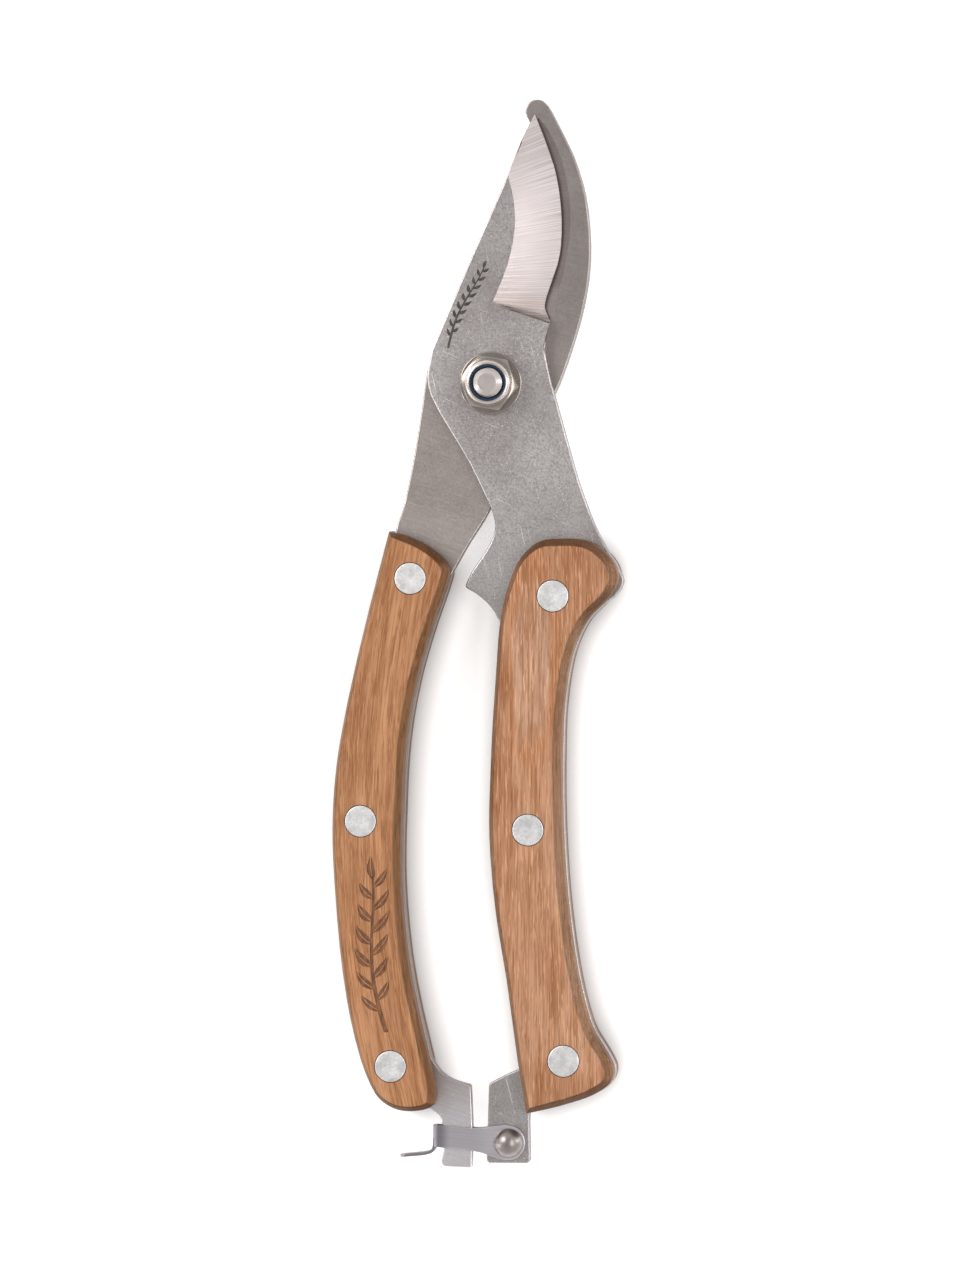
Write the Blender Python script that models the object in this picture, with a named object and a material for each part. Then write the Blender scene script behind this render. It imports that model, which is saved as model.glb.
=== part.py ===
"""Bypass secateurs: two stamped plates on one pivot, wooden scales and a swinging latch.

The tool lies on its back with its handles latched. X runs across it, Y along it towards
the blade's tip, and Z up from the outer faces of the back scales. Every size here is in
millimetres. X and Y are measured from the pivot axis, and on the latch from its rivet.
A mesh is scaled to metres when it is made.

An outline is a closed list of points. (x, y) is a point that the edge runs through
smoothly, and (x, y, r) is a corner rounded to radius r, or a sharp one where r is 0.
"""

import math

import bmesh
import bpy
import numpy as np
from mathutils import Vector

MM = 0.001
CHORD = 0.035          # how far a facet may leave the true curve
SAMPLE = 0.4           # spacing of the points that a curve is first worked out at
CLEAR = 0.1            # gap between pieces that lie on each other
FAR = 300.0            # longer than the tool, for cutters

# Where the two joint axes stand. The pivot is measured from the centre of the tool's box.
PIVOT = (2.65, 49.3)
LATCH_AXIS = (3.3, -149.2)

# Heights, from the outer face of the back scales
PLATE = 2.5
TANG_Z = 6.0                            # underside of both tangs, between the scales
SCALE = TANG_Z - CLEAR                  # thickness of a scale
FRONT_SCALE_Z = TANG_Z + PLATE + CLEAR
TOP_Z = FRONT_SCALE_Z + SCALE           # outer face of the front scales
JOGGLE = 1.35                           # how far each head is set off from its tang
BLADE_Z = TANG_Z + JOGGLE               # underside of the blade
HOOK_Z = TANG_Z - JOGGLE                # underside of the hook

# The joggles, as (a point where one starts, its direction across the plate, its length)
BLADE_JOGGLE = ((-0.6, -22.95), (17.4, -18.0), 8.0)
HOOK_JOGGLE = ((-17.5, -21.9), (-7.5, -25.4), 7.0)
JOGGLE_STEPS = 8

# Wooden scales
CHAMFER_DROP = 1.75
RIGHT_CHAMFER = (1.65, 0.35, 0.15)      # width, and what it gains towards +X and +Y
LEFT_CHAMFER = (1.4, 0.3, 0.0)
STEEL_PROUD = 0.15                      # how far the plates stand out of the wood

# Handle rivets: a tubular half from the front and a solid half from the back
RIGHT_RIVETS = ((12.6, -41.7), (7.7, -87.5), (14.7, -132.7))
LEFT_RIVETS = ((-15.5, -38.3), (-25.3, -85.9), (-19.4, -134.0))
RIVET_HEAD_R = 3.1
RIVET_HEAD = 1.3
RIVET_TUBE_R = 2.05
RIVET_PIN_R = 1.25
RIVET_FIT = 0.1

# Pivot: M6 bolt and lock nut on a bush that both plates turn on
BOLT_R = 2.95
HEX_ACROSS = 10.0
BOLT_HEAD = 4.0
BUSH_R = 4.0
BORE_FIT = 0.1
WASHER_R = 6.15
WASHER = 1.2
NUT = 6.0
NUT_HEX = 4.4
COLLAR_R = 4.45
COLLAR_LIP_R = 3.5
INSERT_R = 4.05
BOLT_PAST_NUT = 0.8

# Return spring, in one round pocket in each plate
SPRING_R = 5.9
SPRING_WIRE_R = 0.45
SPRING_TURNS = 1.5
SPRING_PITCH = 1.0
SPRING_BEND = 0.8
POCKET_R = 7.2
POCKET = 1.2

# Latch: a strap bent round the left tab, with an eye on each side of the right tab
STRAP = 0.7
FOLD_X = -15.0                          # outer face of the fold, from the rivet
FOLD_R = 1.1
LATCH_GAP = 0.2                         # between the strap and the tabs
LATCH_RIVET_R = 1.5
DOME_R = 2.85
DOME = 1.8

BLADE_HEAD = [
    (8.35, 52.8, 0),                    # tip, then down the cutting edge
    (10.3, 47.8), (12.3, 41.9), (13.4, 35.6), (13.65, 30.2), (13.2, 24.8), (11.9, 20.5),
    (10.5, 16.4), (10.3, 15.1), (10.6, 13.9),
    (11.6, 12.0, 0),                    # heel, then down the right side to the horn
    (10.9, 9.4), (10.6, 6.6), (11.5, 1.4), (13.9, -7.3), (17.4, -19.8), (20.2, -27.6),
    (23.2, -33.4), (25.3, -36.9), (26.0, -38.8), (25.0, -41.1),
    (22.0, -43.6, 0), (9.0, -52.0, 0), (2.6, -50.0, 0),
    (1.2, -46.2), (-0.6, -43.5), (-2.9, -41.5),
    (-5.4, -40.0, 0.5),                 # stop spur
    (-4.1, -37.2), (-1.4, -33.2), (0.4, -29.7), (0.6, -27.2),
    (-0.1, -24.4, 0.8),
    (-4.2, -15.9), (-10.5, -5.3), (-12.2, -1.6), (-12.65, 1.4), (-11.8, 6.5, 6.0),
    (-4.3, 23.9), (3.1, 40.6), (4.8, 45.3), (6.6, 49.4),
]
HOOK_HEAD = [
    (7.2, 51.4, 0.5),                   # nose, then down the outer edge
    (6.35, 53.4), (7.3, 55.25), (9.2, 55.7), (10.7, 54.7), (13.2, 50.2), (16.2, 43.9),
    (18.25, 37.0), (19.2, 29.2), (19.1, 21.9), (18.0, 15.0), (15.6, 6.5), (12.4, -1.9),
    (6.6, -12.3), (-0.2, -24.4), (-4.3, -31.1), (-8.4, -38.4, 0),
    (-12.0, -46.0, 0), (-18.5, -40.0, 0),
    (-19.1, -29.3), (-17.7, -24.3), (-15.6, -14.3), (-14.0, -4.3), (-12.8, 3.1),
    (-10.3, 7.4), (-5.8, 11.2), (-0.5, 13.0), (4.4, 14.9), (7.8, 18.9), (9.6, 24.4),
    (10.4, 31.0), (10.1, 38.0), (9.1, 45.0),
]
RIGHT_GRIP = [
    (7.2, -143.2, 0),                   # bottom, then up the left side
    (5.6, -133.6), (3.4, -117.6), (1.0, -102.6), (-0.1, -88.5), (0.2, -73.9),
    (1.1, -58.3), (2.1, -46.5), (3.7, -39.5), (6.3, -33.9), (9.9, -31.0), (14.0, -30.5),
    (18.6, -30.8), (21.4, -32.1), (24.3, -35.2), (25.2, -38.4), (23.6, -41.7),
    (19.3, -46.2), (16.4, -52.2), (14.6, -62.0), (14.1, -75.0), (14.4, -90.0),
    (15.55, -104.5), (17.7, -118.0), (20.2, -126.6), (23.3, -131.8), (24.4, -134.5),
    (23.6, -137.1), (20.6, -139.3), (14.0, -141.6),
]
LEFT_GRIP = [
    (-19.9, -29.1, 0),                  # top, then down the right side
    (-17.1, -29.8), (-13.1, -31.6), (-9.4, -34.4), (-8.1, -36.7), (-8.7, -39.6),
    (-11.6, -48.0), (-14.6, -58.5), (-16.6, -70.0), (-17.5, -85.0), (-17.6, -98.0),
    (-16.4, -112.0), (-14.5, -122.5), (-12.2, -132.2), (-10.8, -139.6),
    (-11.5, -141.9), (-15.0, -142.9), (-18.9, -142.4), (-22.0, -140.3), (-24.4, -135.9),
    (-27.0, -127.3), (-29.1, -115.5), (-30.5, -101.0), (-31.1, -87.5), (-30.4, -76.0),
    (-28.5, -64.5), (-24.7, -47.8),
]
RIGHT_TAB = [
    (9.5, -136.0, 0), (6.0, -134.4, 0), (3.5, -135.5), (1.6, -136.4),
    (-0.6, -137.6, 0.9), (-0.9, -146.0), (-1.1, -153.3, 0.6),
    (7.6, -153.3, 0.9), (7.4, -144.7), (7.6, -142.0, 0), (12.0, -140.0, 0),
]
LEFT_TAB = [
    (-15.0, -136.0, 0), (-11.9, -132.6, 0), (-10.1, -135.2), (-7.8, -136.8),
    (-4.1, -137.9, 0.5), (-3.8, -146.0), (-3.95, -154.3, 0.4), (-9.6, -154.1, 0.7),
    (-10.25, -153.1, 0.5), (-9.6, -150.9, 0.6), (-9.7, -146.2, 0.5), (-10.5, -144.2),
    (-12.9, -142.4, 0), (-15.0, -139.0, 0),
]
LATCH_STRAP = [
    (FOLD_X, 3.4, 0), (-7.8, 2.85), (-5.5, 2.8), (-2.6, 3.3), (-0.3, 3.5), (2.0, 2.85),
    (3.2, 0.8), (3.1, -1.2), (1.7, -2.95), (-0.4, -3.35), (-2.6, -2.9), (-5.6, -1.95),
    (-8.6, -1.5), (FOLD_X, -0.9, 0),
]
THUMB_TAB = [(-14.65, 0.6), (-14.66, -0.6), (-15.1, -1.7), (-16.3, -2.2), (-21.5, -2.75)]

# The ground bevel: where it starts on the blade's face, and the edge that it runs down to
GRIND_LINE = [(0.25, 16.1), (3.3, 23.8), (4.6, 32.0), (3.3, 40.5), (-0.5, 50.0)]
GRIND_EDGE = [(10.4, 14.5), (13.1, 23.0), (13.9, 31.0), (13.1, 40.5), (8.7, 53.6)]
GRIND_END = [(1.7, 14.9), (11.7, 11.5)]
EDGE_LAND = 0.15                        # thickness left at the cutting edge
HOLLOW = 0.18                           # depth of the hollow grinding
# The relief on the hook, from a line on its face down to its inner edge
RELIEF_LINE = [(9.2, 52.2), (11.1, 49.8), (14.2, 42.5), (15.6, 32.5), (14.4, 22.3), (11.5, 12.2)]
RELIEF_EDGE = [(6.6, 50.0), (8.2, 47.0), (10.1, 38.0), (10.4, 31.0), (9.6, 24.4), (7.0, 15.0)]
RELIEF_DEPTH = 0.9

STEEL = ((0.42, 0.40, 0.39, 1), 1.0, 0.38)
BRIGHT = ((0.62, 0.61, 0.60, 1), 1.0, 0.25)
ALUMINIUM = ((0.75, 0.76, 0.77, 1), 1.0, 0.32)
SPRING_STEEL = ((0.30, 0.30, 0.31, 1), 1.0, 0.35)
WOOD = ((0.50, 0.25, 0.12, 1), 0.0, 0.55)
NYLON = ((0.01, 0.05, 0.15, 1), 0.0, 0.45)


# Outlines

def smooth(points):
    """Points along a centripetal Catmull-Rom curve through the given ones."""
    points = [Vector(p) for p in points]
    if len(points) == 2:
        return points
    ends = [2 * points[0] - points[1], 2 * points[-1] - points[-2]]
    knots = [ends[0], *points, ends[1]]
    curve = []
    for a, b, c, d in zip(knots, knots[1:], knots[2:], knots[3:]):
        t0 = 0.0
        t1 = t0 + math.sqrt((b - a).length)
        t2 = t1 + math.sqrt((c - b).length)
        t3 = t2 + math.sqrt((d - c).length)
        steps = max(2, round((c - b).length / SAMPLE))
        for t in np.linspace(t1, t2, steps, endpoint=False):
            ab = a.lerp(b, (t - t0) / (t1 - t0))
            bc = b.lerp(c, (t - t1) / (t2 - t1))
            cd = c.lerp(d, (t - t2) / (t3 - t2))
            curve.append(ab.lerp(bc, (t - t0) / (t2 - t0)).lerp(
                bc.lerp(cd, (t - t1) / (t3 - t1)), (t - t1) / (t2 - t1)))
    return [*curve, points[-1]]


def thinned(points):
    """The points of an open curve that it needs to stay within CHORD of itself."""
    first, last = points[0], points[-1]
    chord = last - first
    if len(points) < 3:
        return points
    if chord.length < 1e-6:
        away = [(p - first).length for p in points]
    else:
        across = Vector((-chord.y, chord.x)).normalized()
        away = [abs((p - first).dot(across)) for p in points]
    worst = int(np.argmax(away))
    if away[worst] < CHORD:
        return [first, last]
    return thinned(points[:worst + 1])[:-1] + thinned(points[worst:])


def cut_back(points, distance):
    """What is left of a curve when its end is taken off, measured along it."""
    points = list(points)
    while len(points) > 2 and (points[-1] - points[-2]).length <= distance:
        distance -= (points[-1] - points[-2]).length
        points.pop()
    along = (points[-2] - points[-1]).normalized()
    points[-1] = points[-1] + along * distance
    return points


def rounding(before, corner, after, radius):
    """Points of the arc that rounds the corner between two directions."""
    turn = (corner - before).angle(after - corner)
    weight = math.cos(turn / 2)
    steps = max(2, math.ceil(turn / (2 * math.acos(1 - CHORD / max(radius, CHORD)))))
    arc = []
    for t in np.linspace(0, 1, steps + 1):
        a, b, c = (1 - t) ** 2, 2 * weight * t * (1 - t), t * t
        arc.append((before * a + corner * b + after * c) / (a + b + c))
    return arc


def outline(marks):
    """The closed outline that a list of points and corners describes, as points."""
    if all(len(mark) == 2 for mark in marks):
        raise ValueError("an outline needs a corner to start from")
    start = next(i for i, mark in enumerate(marks) if len(mark) == 3)
    marks = marks[start:] + marks[:start + 1]
    corners = [i for i, mark in enumerate(marks) if len(mark) == 3]
    runs = [smooth([mark[:2] for mark in marks[i:j + 1]]) for i, j in zip(corners, corners[1:])]
    radii = [marks[i][2] for i in corners[1:]]
    arcs = []
    for n, radius in enumerate(radii):
        after = (n + 1) % len(runs)
        corner = runs[n][-1]
        turn = (corner - runs[n][-2]).angle(runs[after][1] - corner)
        back = radius * math.tan(turn / 2)
        arcs.append((corner, back, radius))
    points = []
    for n, run in enumerate(runs):
        corner, back, radius = arcs[n]
        run = cut_back(run[::-1], arcs[n - 1][1])[::-1]
        run = cut_back(run, back)
        points += thinned(run)[:-1]
        following = cut_back(runs[(n + 1) % len(runs)][::-1], back)[-1]
        points += rounding(run[-1], corner, following, radius)[:-1] if radius else []
    return points


def grown(points, width):
    """The outline moved outwards, by a number or by a function of the outward direction."""
    area = sum(a.cross(b) for a, b in zip(points, points[1:] + points[:1]))
    out = 1 if area < 0 else -1
    moved = []
    for before, here, after in zip(points[-1:] + points[:-1], points, points[1:] + points[:1]):
        one = (here - before).normalized()
        two = (after - here).normalized()
        mitre = (one + two).normalized()
        normal = Vector((-mitre.y, mitre.x)) * out
        step = width(normal) if callable(width) else width
        moved.append(here + normal * (step / max(mitre.dot(one), 0.5)))
    return moved


def band(route, width):
    """The outline of a strip of one width along a route."""
    route = thinned(smooth(route))
    sides = []
    for here, before, after in zip(route, route[:1] + route[:-1], route[1:] + route[-1:]):
        along = (after - before).normalized()
        sides.append(Vector((-along.y, along.x)) * (width / 2))
    return [p + s for p, s in zip(route, sides)] + [p - s for p, s in zip(route, sides)][::-1]


# Solids, as meshes in millimetres

def closed(bm):
    """The finished mesh, with its faces pointing out."""
    bmesh.ops.recalc_face_normals(bm, faces=bm.faces)
    mesh = bpy.data.meshes.new("solid")
    bm.to_mesh(mesh)
    bm.free()
    return mesh


def stacked(rings, ends=True):
    """A solid through rings of points that match one to one, closed at both ends."""
    bm = bmesh.new()
    loops = [[bm.verts.new(p) for p in ring] for ring in rings]
    for low, high in zip(loops, loops[1:]):
        for i, j in zip(range(len(low)), [*range(1, len(low)), 0]):
            bm.faces.new((low[i], low[j], high[j], high[i]))
    if ends:
        bm.faces.new(loops[0][::-1])
        bm.faces.new(loops[-1])
    else:
        for i, j in zip(range(len(loops[0])), [*range(1, len(loops[0])), 0]):
            bm.faces.new((loops[-1][i], loops[-1][j], loops[0][j], loops[0][i]))
    return closed(bm)


def prism(points, low, high):
    """An outline as an upright solid."""
    return stacked([[(p.x, p.y, z) for p in points] for z in (low, high)])


def turned(profile, segments=28, centre=(0, 0), hollow=False):
    """A profile of (radius, height) turned about an upright axis, as a solid or a ring."""
    rings = []
    for radius, height in profile:
        angles = [2 * math.pi * i / segments for i in range(segments)]
        rings.append([(centre[0] + radius * math.cos(a), centre[1] + radius * math.sin(a), height)
                      for a in angles])
    return stacked(rings, ends=not hollow)


def arc_profile(centre, radius, start, stop, steps):
    """Points of an arc in a (radius, height) profile, between two angles in degrees."""
    angles = np.radians(np.linspace(start, stop, steps + 1))
    return [(centre[0] + radius * math.cos(a), centre[1] + radius * math.sin(a)) for a in angles]


def bent_slab(joggle, low, rise):
    """A sheet that is low on one side of a crease and steps up by rise beyond it."""
    start, towards, length = joggle
    along = (Vector(towards) - Vector(start)).normalized()
    up = Vector((-along.y, along.x))
    middle = (Vector(start) + Vector(towards)) / 2
    shares = [i / JOGGLE_STEPS for i in range(JOGGLE_STEPS + 1)]
    steps = [(-length * (1 - t), rise * (0.5 - 0.5 * math.cos(math.pi * t))) for t in shares]
    steps = [(-FAR, 0.0), *steps, (FAR, rise)]
    profile = [(s, low + z) for s, z in steps] + [(s, low + z + PLATE) for s, z in steps[::-1]]
    rings = []
    for side in (-FAR, FAR):
        places = [middle + along * side + up * s for s, _ in profile]
        rings.append([(p.x, p.y, z) for p, (_, z) in zip(places, profile)])
    return stacked(rings)


def combined(mesh, how, *others):
    """The mesh cut, joined or intersected with the others in turn."""
    body = bpy.data.objects.new("body", mesh)
    bpy.context.scene.collection.objects.link(body)
    for other in others:
        cutter = bpy.data.objects.new("cutter", other)
        cutter.hide_render = True
        cutter.display_type = "WIRE"
        bpy.context.scene.collection.objects.link(cutter)
        modifier = body.modifiers.new("combine", "BOOLEAN")
        modifier.object = cutter
        modifier.operation = how
        modifier.solver = "EXACT"
        graph = bpy.context.evaluated_depsgraph_get()
        result = bpy.data.meshes.new_from_object(body.evaluated_get(graph))
        body.modifiers.clear()
        body.data = result
        bpy.data.objects.remove(cutter)
    result = body.data
    bpy.data.objects.remove(body)
    return result


def hole(centre, radius, low=-FAR, high=FAR, segments=20):
    return turned([(radius, low), (radius, high)], segments, centre)


def swept_cutter(lines, low_ends, top):
    """A cutter above a ruled surface. lines are matching rows of points across the surface."""
    rings = []
    for row, lift in zip(lines, low_ends):
        first, last = row[0], row[-1]
        out = Vector((last.x - first.x, last.y - first.y)).normalized()
        reach = 4.0
        slope = (last.z - first.z) / (last - first).to_2d().length
        beyond = Vector((last.x + out.x * reach, last.y + out.y * reach, last.z + slope * reach))
        back = Vector((first.x - out.x * 0.05, first.y - out.y * 0.05, first.z + 0.05))
        ring = [back, *row[1:-1], last, beyond]
        ring = [Vector((p.x, p.y, p.z + lift * (top - 0.05 - p.z))) for p in ring]
        rings.append([*ring, Vector((beyond.x, beyond.y, top + 5)),
                      Vector((back.x, back.y, top + 5))])
    return stacked(rings)


def across(inner, outer, high, low, sag, cuts=5):
    """Points from one place to another, falling from high to low with a hollow between."""
    row = []
    for t in np.linspace(0, 1, cuts):
        z = high + (low - high) * t - sag * math.sin(math.pi * t)
        place = inner.lerp(outer, t)
        row.append(Vector((place.x, place.y, z)))
    return row


def spaced(points, count):
    """Points at equal steps along the smooth curve through the given ones."""
    curve = smooth(points)
    runs = np.cumsum([0] + [(b - a).length for a, b in zip(curve, curve[1:])])
    places = np.linspace(0, runs[-1], count)
    xs = np.interp(places, runs, [p.x for p in curve])
    ys = np.interp(places, runs, [p.y for p in curve])
    return [Vector(p) for p in zip(xs, ys)]


# Placing

def axis_empty(name, place):
    empty = bpy.data.objects.new(name, None)
    empty.location = (place[0] * MM, place[1] * MM, 0)
    bpy.context.scene.collection.objects.link(empty)
    return empty


def material(name, look):
    made = bpy.data.materials.get(name)
    if made:
        return made
    colour, metallic, roughness = look
    made = bpy.data.materials.new(name)
    made.use_nodes = True
    shader = made.node_tree.nodes["Principled BSDF"]
    shader.inputs["Base Color"].default_value = colour
    shader.inputs["Metallic"].default_value = metallic
    shader.inputs["Roughness"].default_value = roughness
    return made


def node(name, mesh, look, axis):
    """One piece of the tool, on the axis that it turns about."""
    for vertex in mesh.vertices:
        vertex.co *= MM
    mesh.shade_smooth()
    mesh.set_sharp_from_angle(angle=math.radians(28))
    mesh.name = name
    mesh.materials.clear()
    mesh.materials.append(material(name, look))
    piece = bpy.data.objects.new(name, mesh)
    bpy.context.scene.collection.objects.link(piece)
    piece.parent = axis
    return piece


# Plates

def grind_cutter():
    """What grinding takes off the blade: a hollow bevel that ends in a scoop at the heel."""
    top = BLADE_Z + PLATE
    low = BLADE_Z + EDGE_LAND
    count = 15
    starts = spaced(GRIND_LINE, count)
    edges = spaced(GRIND_EDGE, count)
    rows = [across(a, b, top, low, HOLLOW) for a, b in zip(starts, edges)]
    lifts = [0.0] * count
    scoop = []
    scoop_lifts = []
    for share in (0.97, 0.85, 0.65, 0.4):
        start = starts[0].lerp(Vector(GRIND_END[0]), share)
        edge = edges[0].lerp(Vector(GRIND_END[1]), share)
        scoop.append(across(start, edge, top, low, HOLLOW))
        scoop_lifts.append(1 - math.sqrt(1 - share ** 2))
    return swept_cutter(scoop + rows, scoop_lifts + lifts, top)


def relief_cutter():
    top = HOOK_Z + PLATE
    count = 14
    lines = zip(spaced(RELIEF_LINE, count), spaced(RELIEF_EDGE, count))
    rows = [across(a, b, top, top - RELIEF_DEPTH, 0.0, 2) for a, b in lines]
    return swept_cutter(rows, [0.0] * count, top)


def plate(slab, head, grip, tab, rivets):
    """A stamped plate: the outlines of its head, tang and tab in one, in its bent sheet."""
    grip = grown(outline(grip), STEEL_PROUD)
    blank = combined(prism(outline(head), -20, 31), "UNION",
                     prism(grip, -21, 30), prism(outline(tab), -22, 29))
    sheet = combined(slab, "INTERSECT", blank)
    holes = [hole(rivet, RIVET_TUBE_R + RIVET_FIT) for rivet in rivets]
    bore = hole((0, 0), BUSH_R + BORE_FIT, segments=28)
    return combined(sheet, "DIFFERENCE", *holes, bore)


def spring_seat(start, direction, face, depth, leg):
    """Cutters for one half of the spring's pocket and for the blind hole its leg sits in."""
    angle = start + direction * SPRING_BEND / SPRING_R
    place = (SPRING_R * math.cos(angle), SPRING_R * math.sin(angle))
    pocket = hole((0, 0), POCKET_R, min(face, depth), max(face, depth), 28)
    socket = hole(place, SPRING_WIRE_R + 0.35, min(face, leg), max(face, leg), 12)
    return pocket, socket


def make_blade_plate(axis):
    slab = bent_slab(BLADE_JOGGLE, TANG_Z, JOGGLE)
    sheet = plate(slab, BLADE_HEAD, RIGHT_GRIP, RIGHT_TAB, RIGHT_RIVETS)
    end = 2 * math.pi * SPRING_TURNS
    seat = spring_seat(end, 1, BLADE_Z - 1, BLADE_Z + POCKET, BLADE_Z + POCKET + 0.65)
    latch_hole = hole(LATCH_AXIS, LATCH_RIVET_R + RIVET_FIT)
    sheet = combined(sheet, "DIFFERENCE", *seat, latch_hole, grind_cutter())
    node("blade_plate", sheet, STEEL, axis)


def make_hook_plate(axis):
    slab = bent_slab(HOOK_JOGGLE, TANG_Z, -JOGGLE)
    sheet = plate(slab, HOOK_HEAD, LEFT_GRIP, LEFT_TAB, LEFT_RIVETS)
    face = HOOK_Z + PLATE
    seat = spring_seat(0.0, -1, face + 1, face - POCKET, face - POCKET - 0.65)
    sheet = combined(sheet, "DIFFERENCE", *seat, relief_cutter())
    node("hook_plate", sheet, STEEL, axis)


# Handles

def make_scale(name, grip, chamfer, rivets, front, axis):
    """One wooden scale, chamfered round its outer face and counterbored for the rivets."""
    base, towards_x, towards_y = chamfer
    edge = outline(grip)
    face = grown(edge, lambda n: -(base + towards_x * n.x + towards_y * n.y))
    heights = (FRONT_SCALE_Z, TOP_Z - CHAMFER_DROP, TOP_Z) if front else (SCALE, CHAMFER_DROP, 0)
    rings = [[(p.x, p.y, z) for p in ring] for ring, z in zip((edge, edge, face), heights)]
    bore = RIVET_TUBE_R + RIVET_FIT
    sink = RIVET_HEAD_R + RIVET_FIT
    depth = RIVET_HEAD + RIVET_FIT
    span = (TOP_Z - depth, TOP_Z + 1) if front else (-1, depth)
    cutters = [hole(rivet, bore) for rivet in rivets]
    cutters += [hole(rivet, sink, *span) for rivet in rivets]
    node(name, combined(stacked(rings), "DIFFERENCE", *cutters), WOOD, axis)


def make_rivet(name, place, axis):
    """The two halves of one rivet: a tube from the front, and a pin that is driven into it."""
    head = TOP_Z + 0.05
    under = head - RIVET_HEAD
    tube_end = RIVET_HEAD + 1.6
    tube_bore = RIVET_PIN_R + RIVET_FIT
    tube_top = under - 0.6
    front = [(0, tube_top), (tube_bore, tube_top), (tube_bore, tube_end), (RIVET_TUBE_R, tube_end),
             (RIVET_TUBE_R, under), (RIVET_HEAD_R, under), (RIVET_HEAD_R, head - 0.2),
             (RIVET_HEAD_R - 0.2, head), (0, head)]
    node(f"{name}_front", lathe(front, 20, place), ALUMINIUM, axis)
    low = 0.05
    back = [(0, low), (RIVET_HEAD_R - 0.2, low), (RIVET_HEAD_R, low + 0.2),
            (RIVET_HEAD_R, low + RIVET_HEAD), (RIVET_PIN_R, low + RIVET_HEAD),
            (RIVET_PIN_R, tube_top - 0.6), (RIVET_PIN_R - 0.3, tube_top - 0.3),
            (0, tube_top - 0.3)]
    node(f"{name}_back", lathe(back, 20, place), ALUMINIUM, axis)


def lathe(profile, segments, centre=(0, 0)):
    """A profile that starts and ends on the axis, turned to a solid with a point at each end."""
    bm = bmesh.new()
    ends = [bm.verts.new((*centre, profile[0][1])), bm.verts.new((*centre, profile[-1][1]))]
    rings = []
    for radius, height in profile[1:-1]:
        rings.append([bm.verts.new((centre[0] + radius * math.cos(2 * math.pi * i / segments),
                                    centre[1] + radius * math.sin(2 * math.pi * i / segments),
                                    height)) for i in range(segments)])
    following = [*range(1, segments), 0]
    for i, j in enumerate(following):
        bm.faces.new((ends[0], rings[0][j], rings[0][i]))
        bm.faces.new((ends[1], rings[-1][i], rings[-1][j]))
        for low, high in zip(rings, rings[1:]):
            bm.faces.new((low[i], low[j], high[j], high[i]))
    return closed(bm)


# Pivot

def hexagon(low, high, turn):
    """A hexagonal bar with the corners chamfered at both ends."""
    corner = HEX_ACROSS / math.sqrt(3)
    points = [Vector((corner * math.cos(math.radians(60 * i + turn)),
                      corner * math.sin(math.radians(60 * i + turn)))) for i in range(6)]
    flat = HEX_ACROSS / 2 - 0.15
    slope = (corner - flat) * math.tan(math.radians(30))
    envelope = [(flat, low), (corner + 0.2, low + slope), (corner + 0.2, high - slope),
                (flat, high)]
    return combined(prism(points, low - 1, high + 1), "INTERSECT", turned(envelope, 24))


def make_pivot(axis):
    head_top = HOOK_Z - CLEAR
    seat = BLADE_Z + PLATE + CLEAR
    washer_top = seat + WASHER
    nut_low = washer_top + 0.05
    nut_high = nut_low + NUT
    end = nut_high + BOLT_PAST_NUT
    shank = lathe([(0, head_top - 1), (BOLT_R, head_top - 1), (BOLT_R, end - 0.6),
                   (BOLT_R - 0.85, end), (0, end)], 24)
    head = hexagon(head_top - BOLT_HEAD, head_top, 0)
    node("pivot_bolt", combined(head, "UNION", shank), BRIGHT, axis)

    inner = BOLT_R + BORE_FIT
    bush = [(inner, head_top + 0.05), (BUSH_R, head_top + 0.05), (BUSH_R, seat - 0.05),
            (inner, seat - 0.05)]
    node("pivot_bush", turned(bush, 28, hollow=True), BRIGHT, axis)

    washer = [(inner + 0.15, seat), (WASHER_R - 0.2, seat), (WASHER_R, seat + 0.2),
              (WASHER_R, washer_top - 0.3), (WASHER_R - 0.3, washer_top),
              (inner + 0.15, washer_top)]
    node("pivot_washer", turned(washer, 32, hollow=True), BRIGHT, axis)

    body = hexagon(nut_low, nut_low + NUT_HEX, -9)
    rim = 0.75
    collar = [(COLLAR_R, nut_low + 2), *arc_profile((COLLAR_R - rim, nut_high - rim), rim, 0, 90, 4),
              (COLLAR_LIP_R - 0.4, nut_high)]
    groove = INSERT_R + 0.05
    groove_z = nut_high - 2.2
    bore = [(inner, nut_low - 1), (inner, groove_z), (groove, groove_z), (groove, nut_high - 0.4),
            (COLLAR_LIP_R, nut_high - 0.35), (COLLAR_LIP_R, nut_high + 1)]
    body = combined(body, "UNION", turned(collar))
    body = combined(body, "DIFFERENCE", turned(bore))
    node("pivot_nut", body, BRIGHT, axis)

    insert = [(inner, groove_z + 0.05), (INSERT_R, groove_z + 0.05), (INSERT_R, nut_high - 0.5),
              (inner + 0.1, nut_high - 0.5)]
    node("nut_insert", turned(insert, 28, hollow=True), NYLON, axis)


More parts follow.
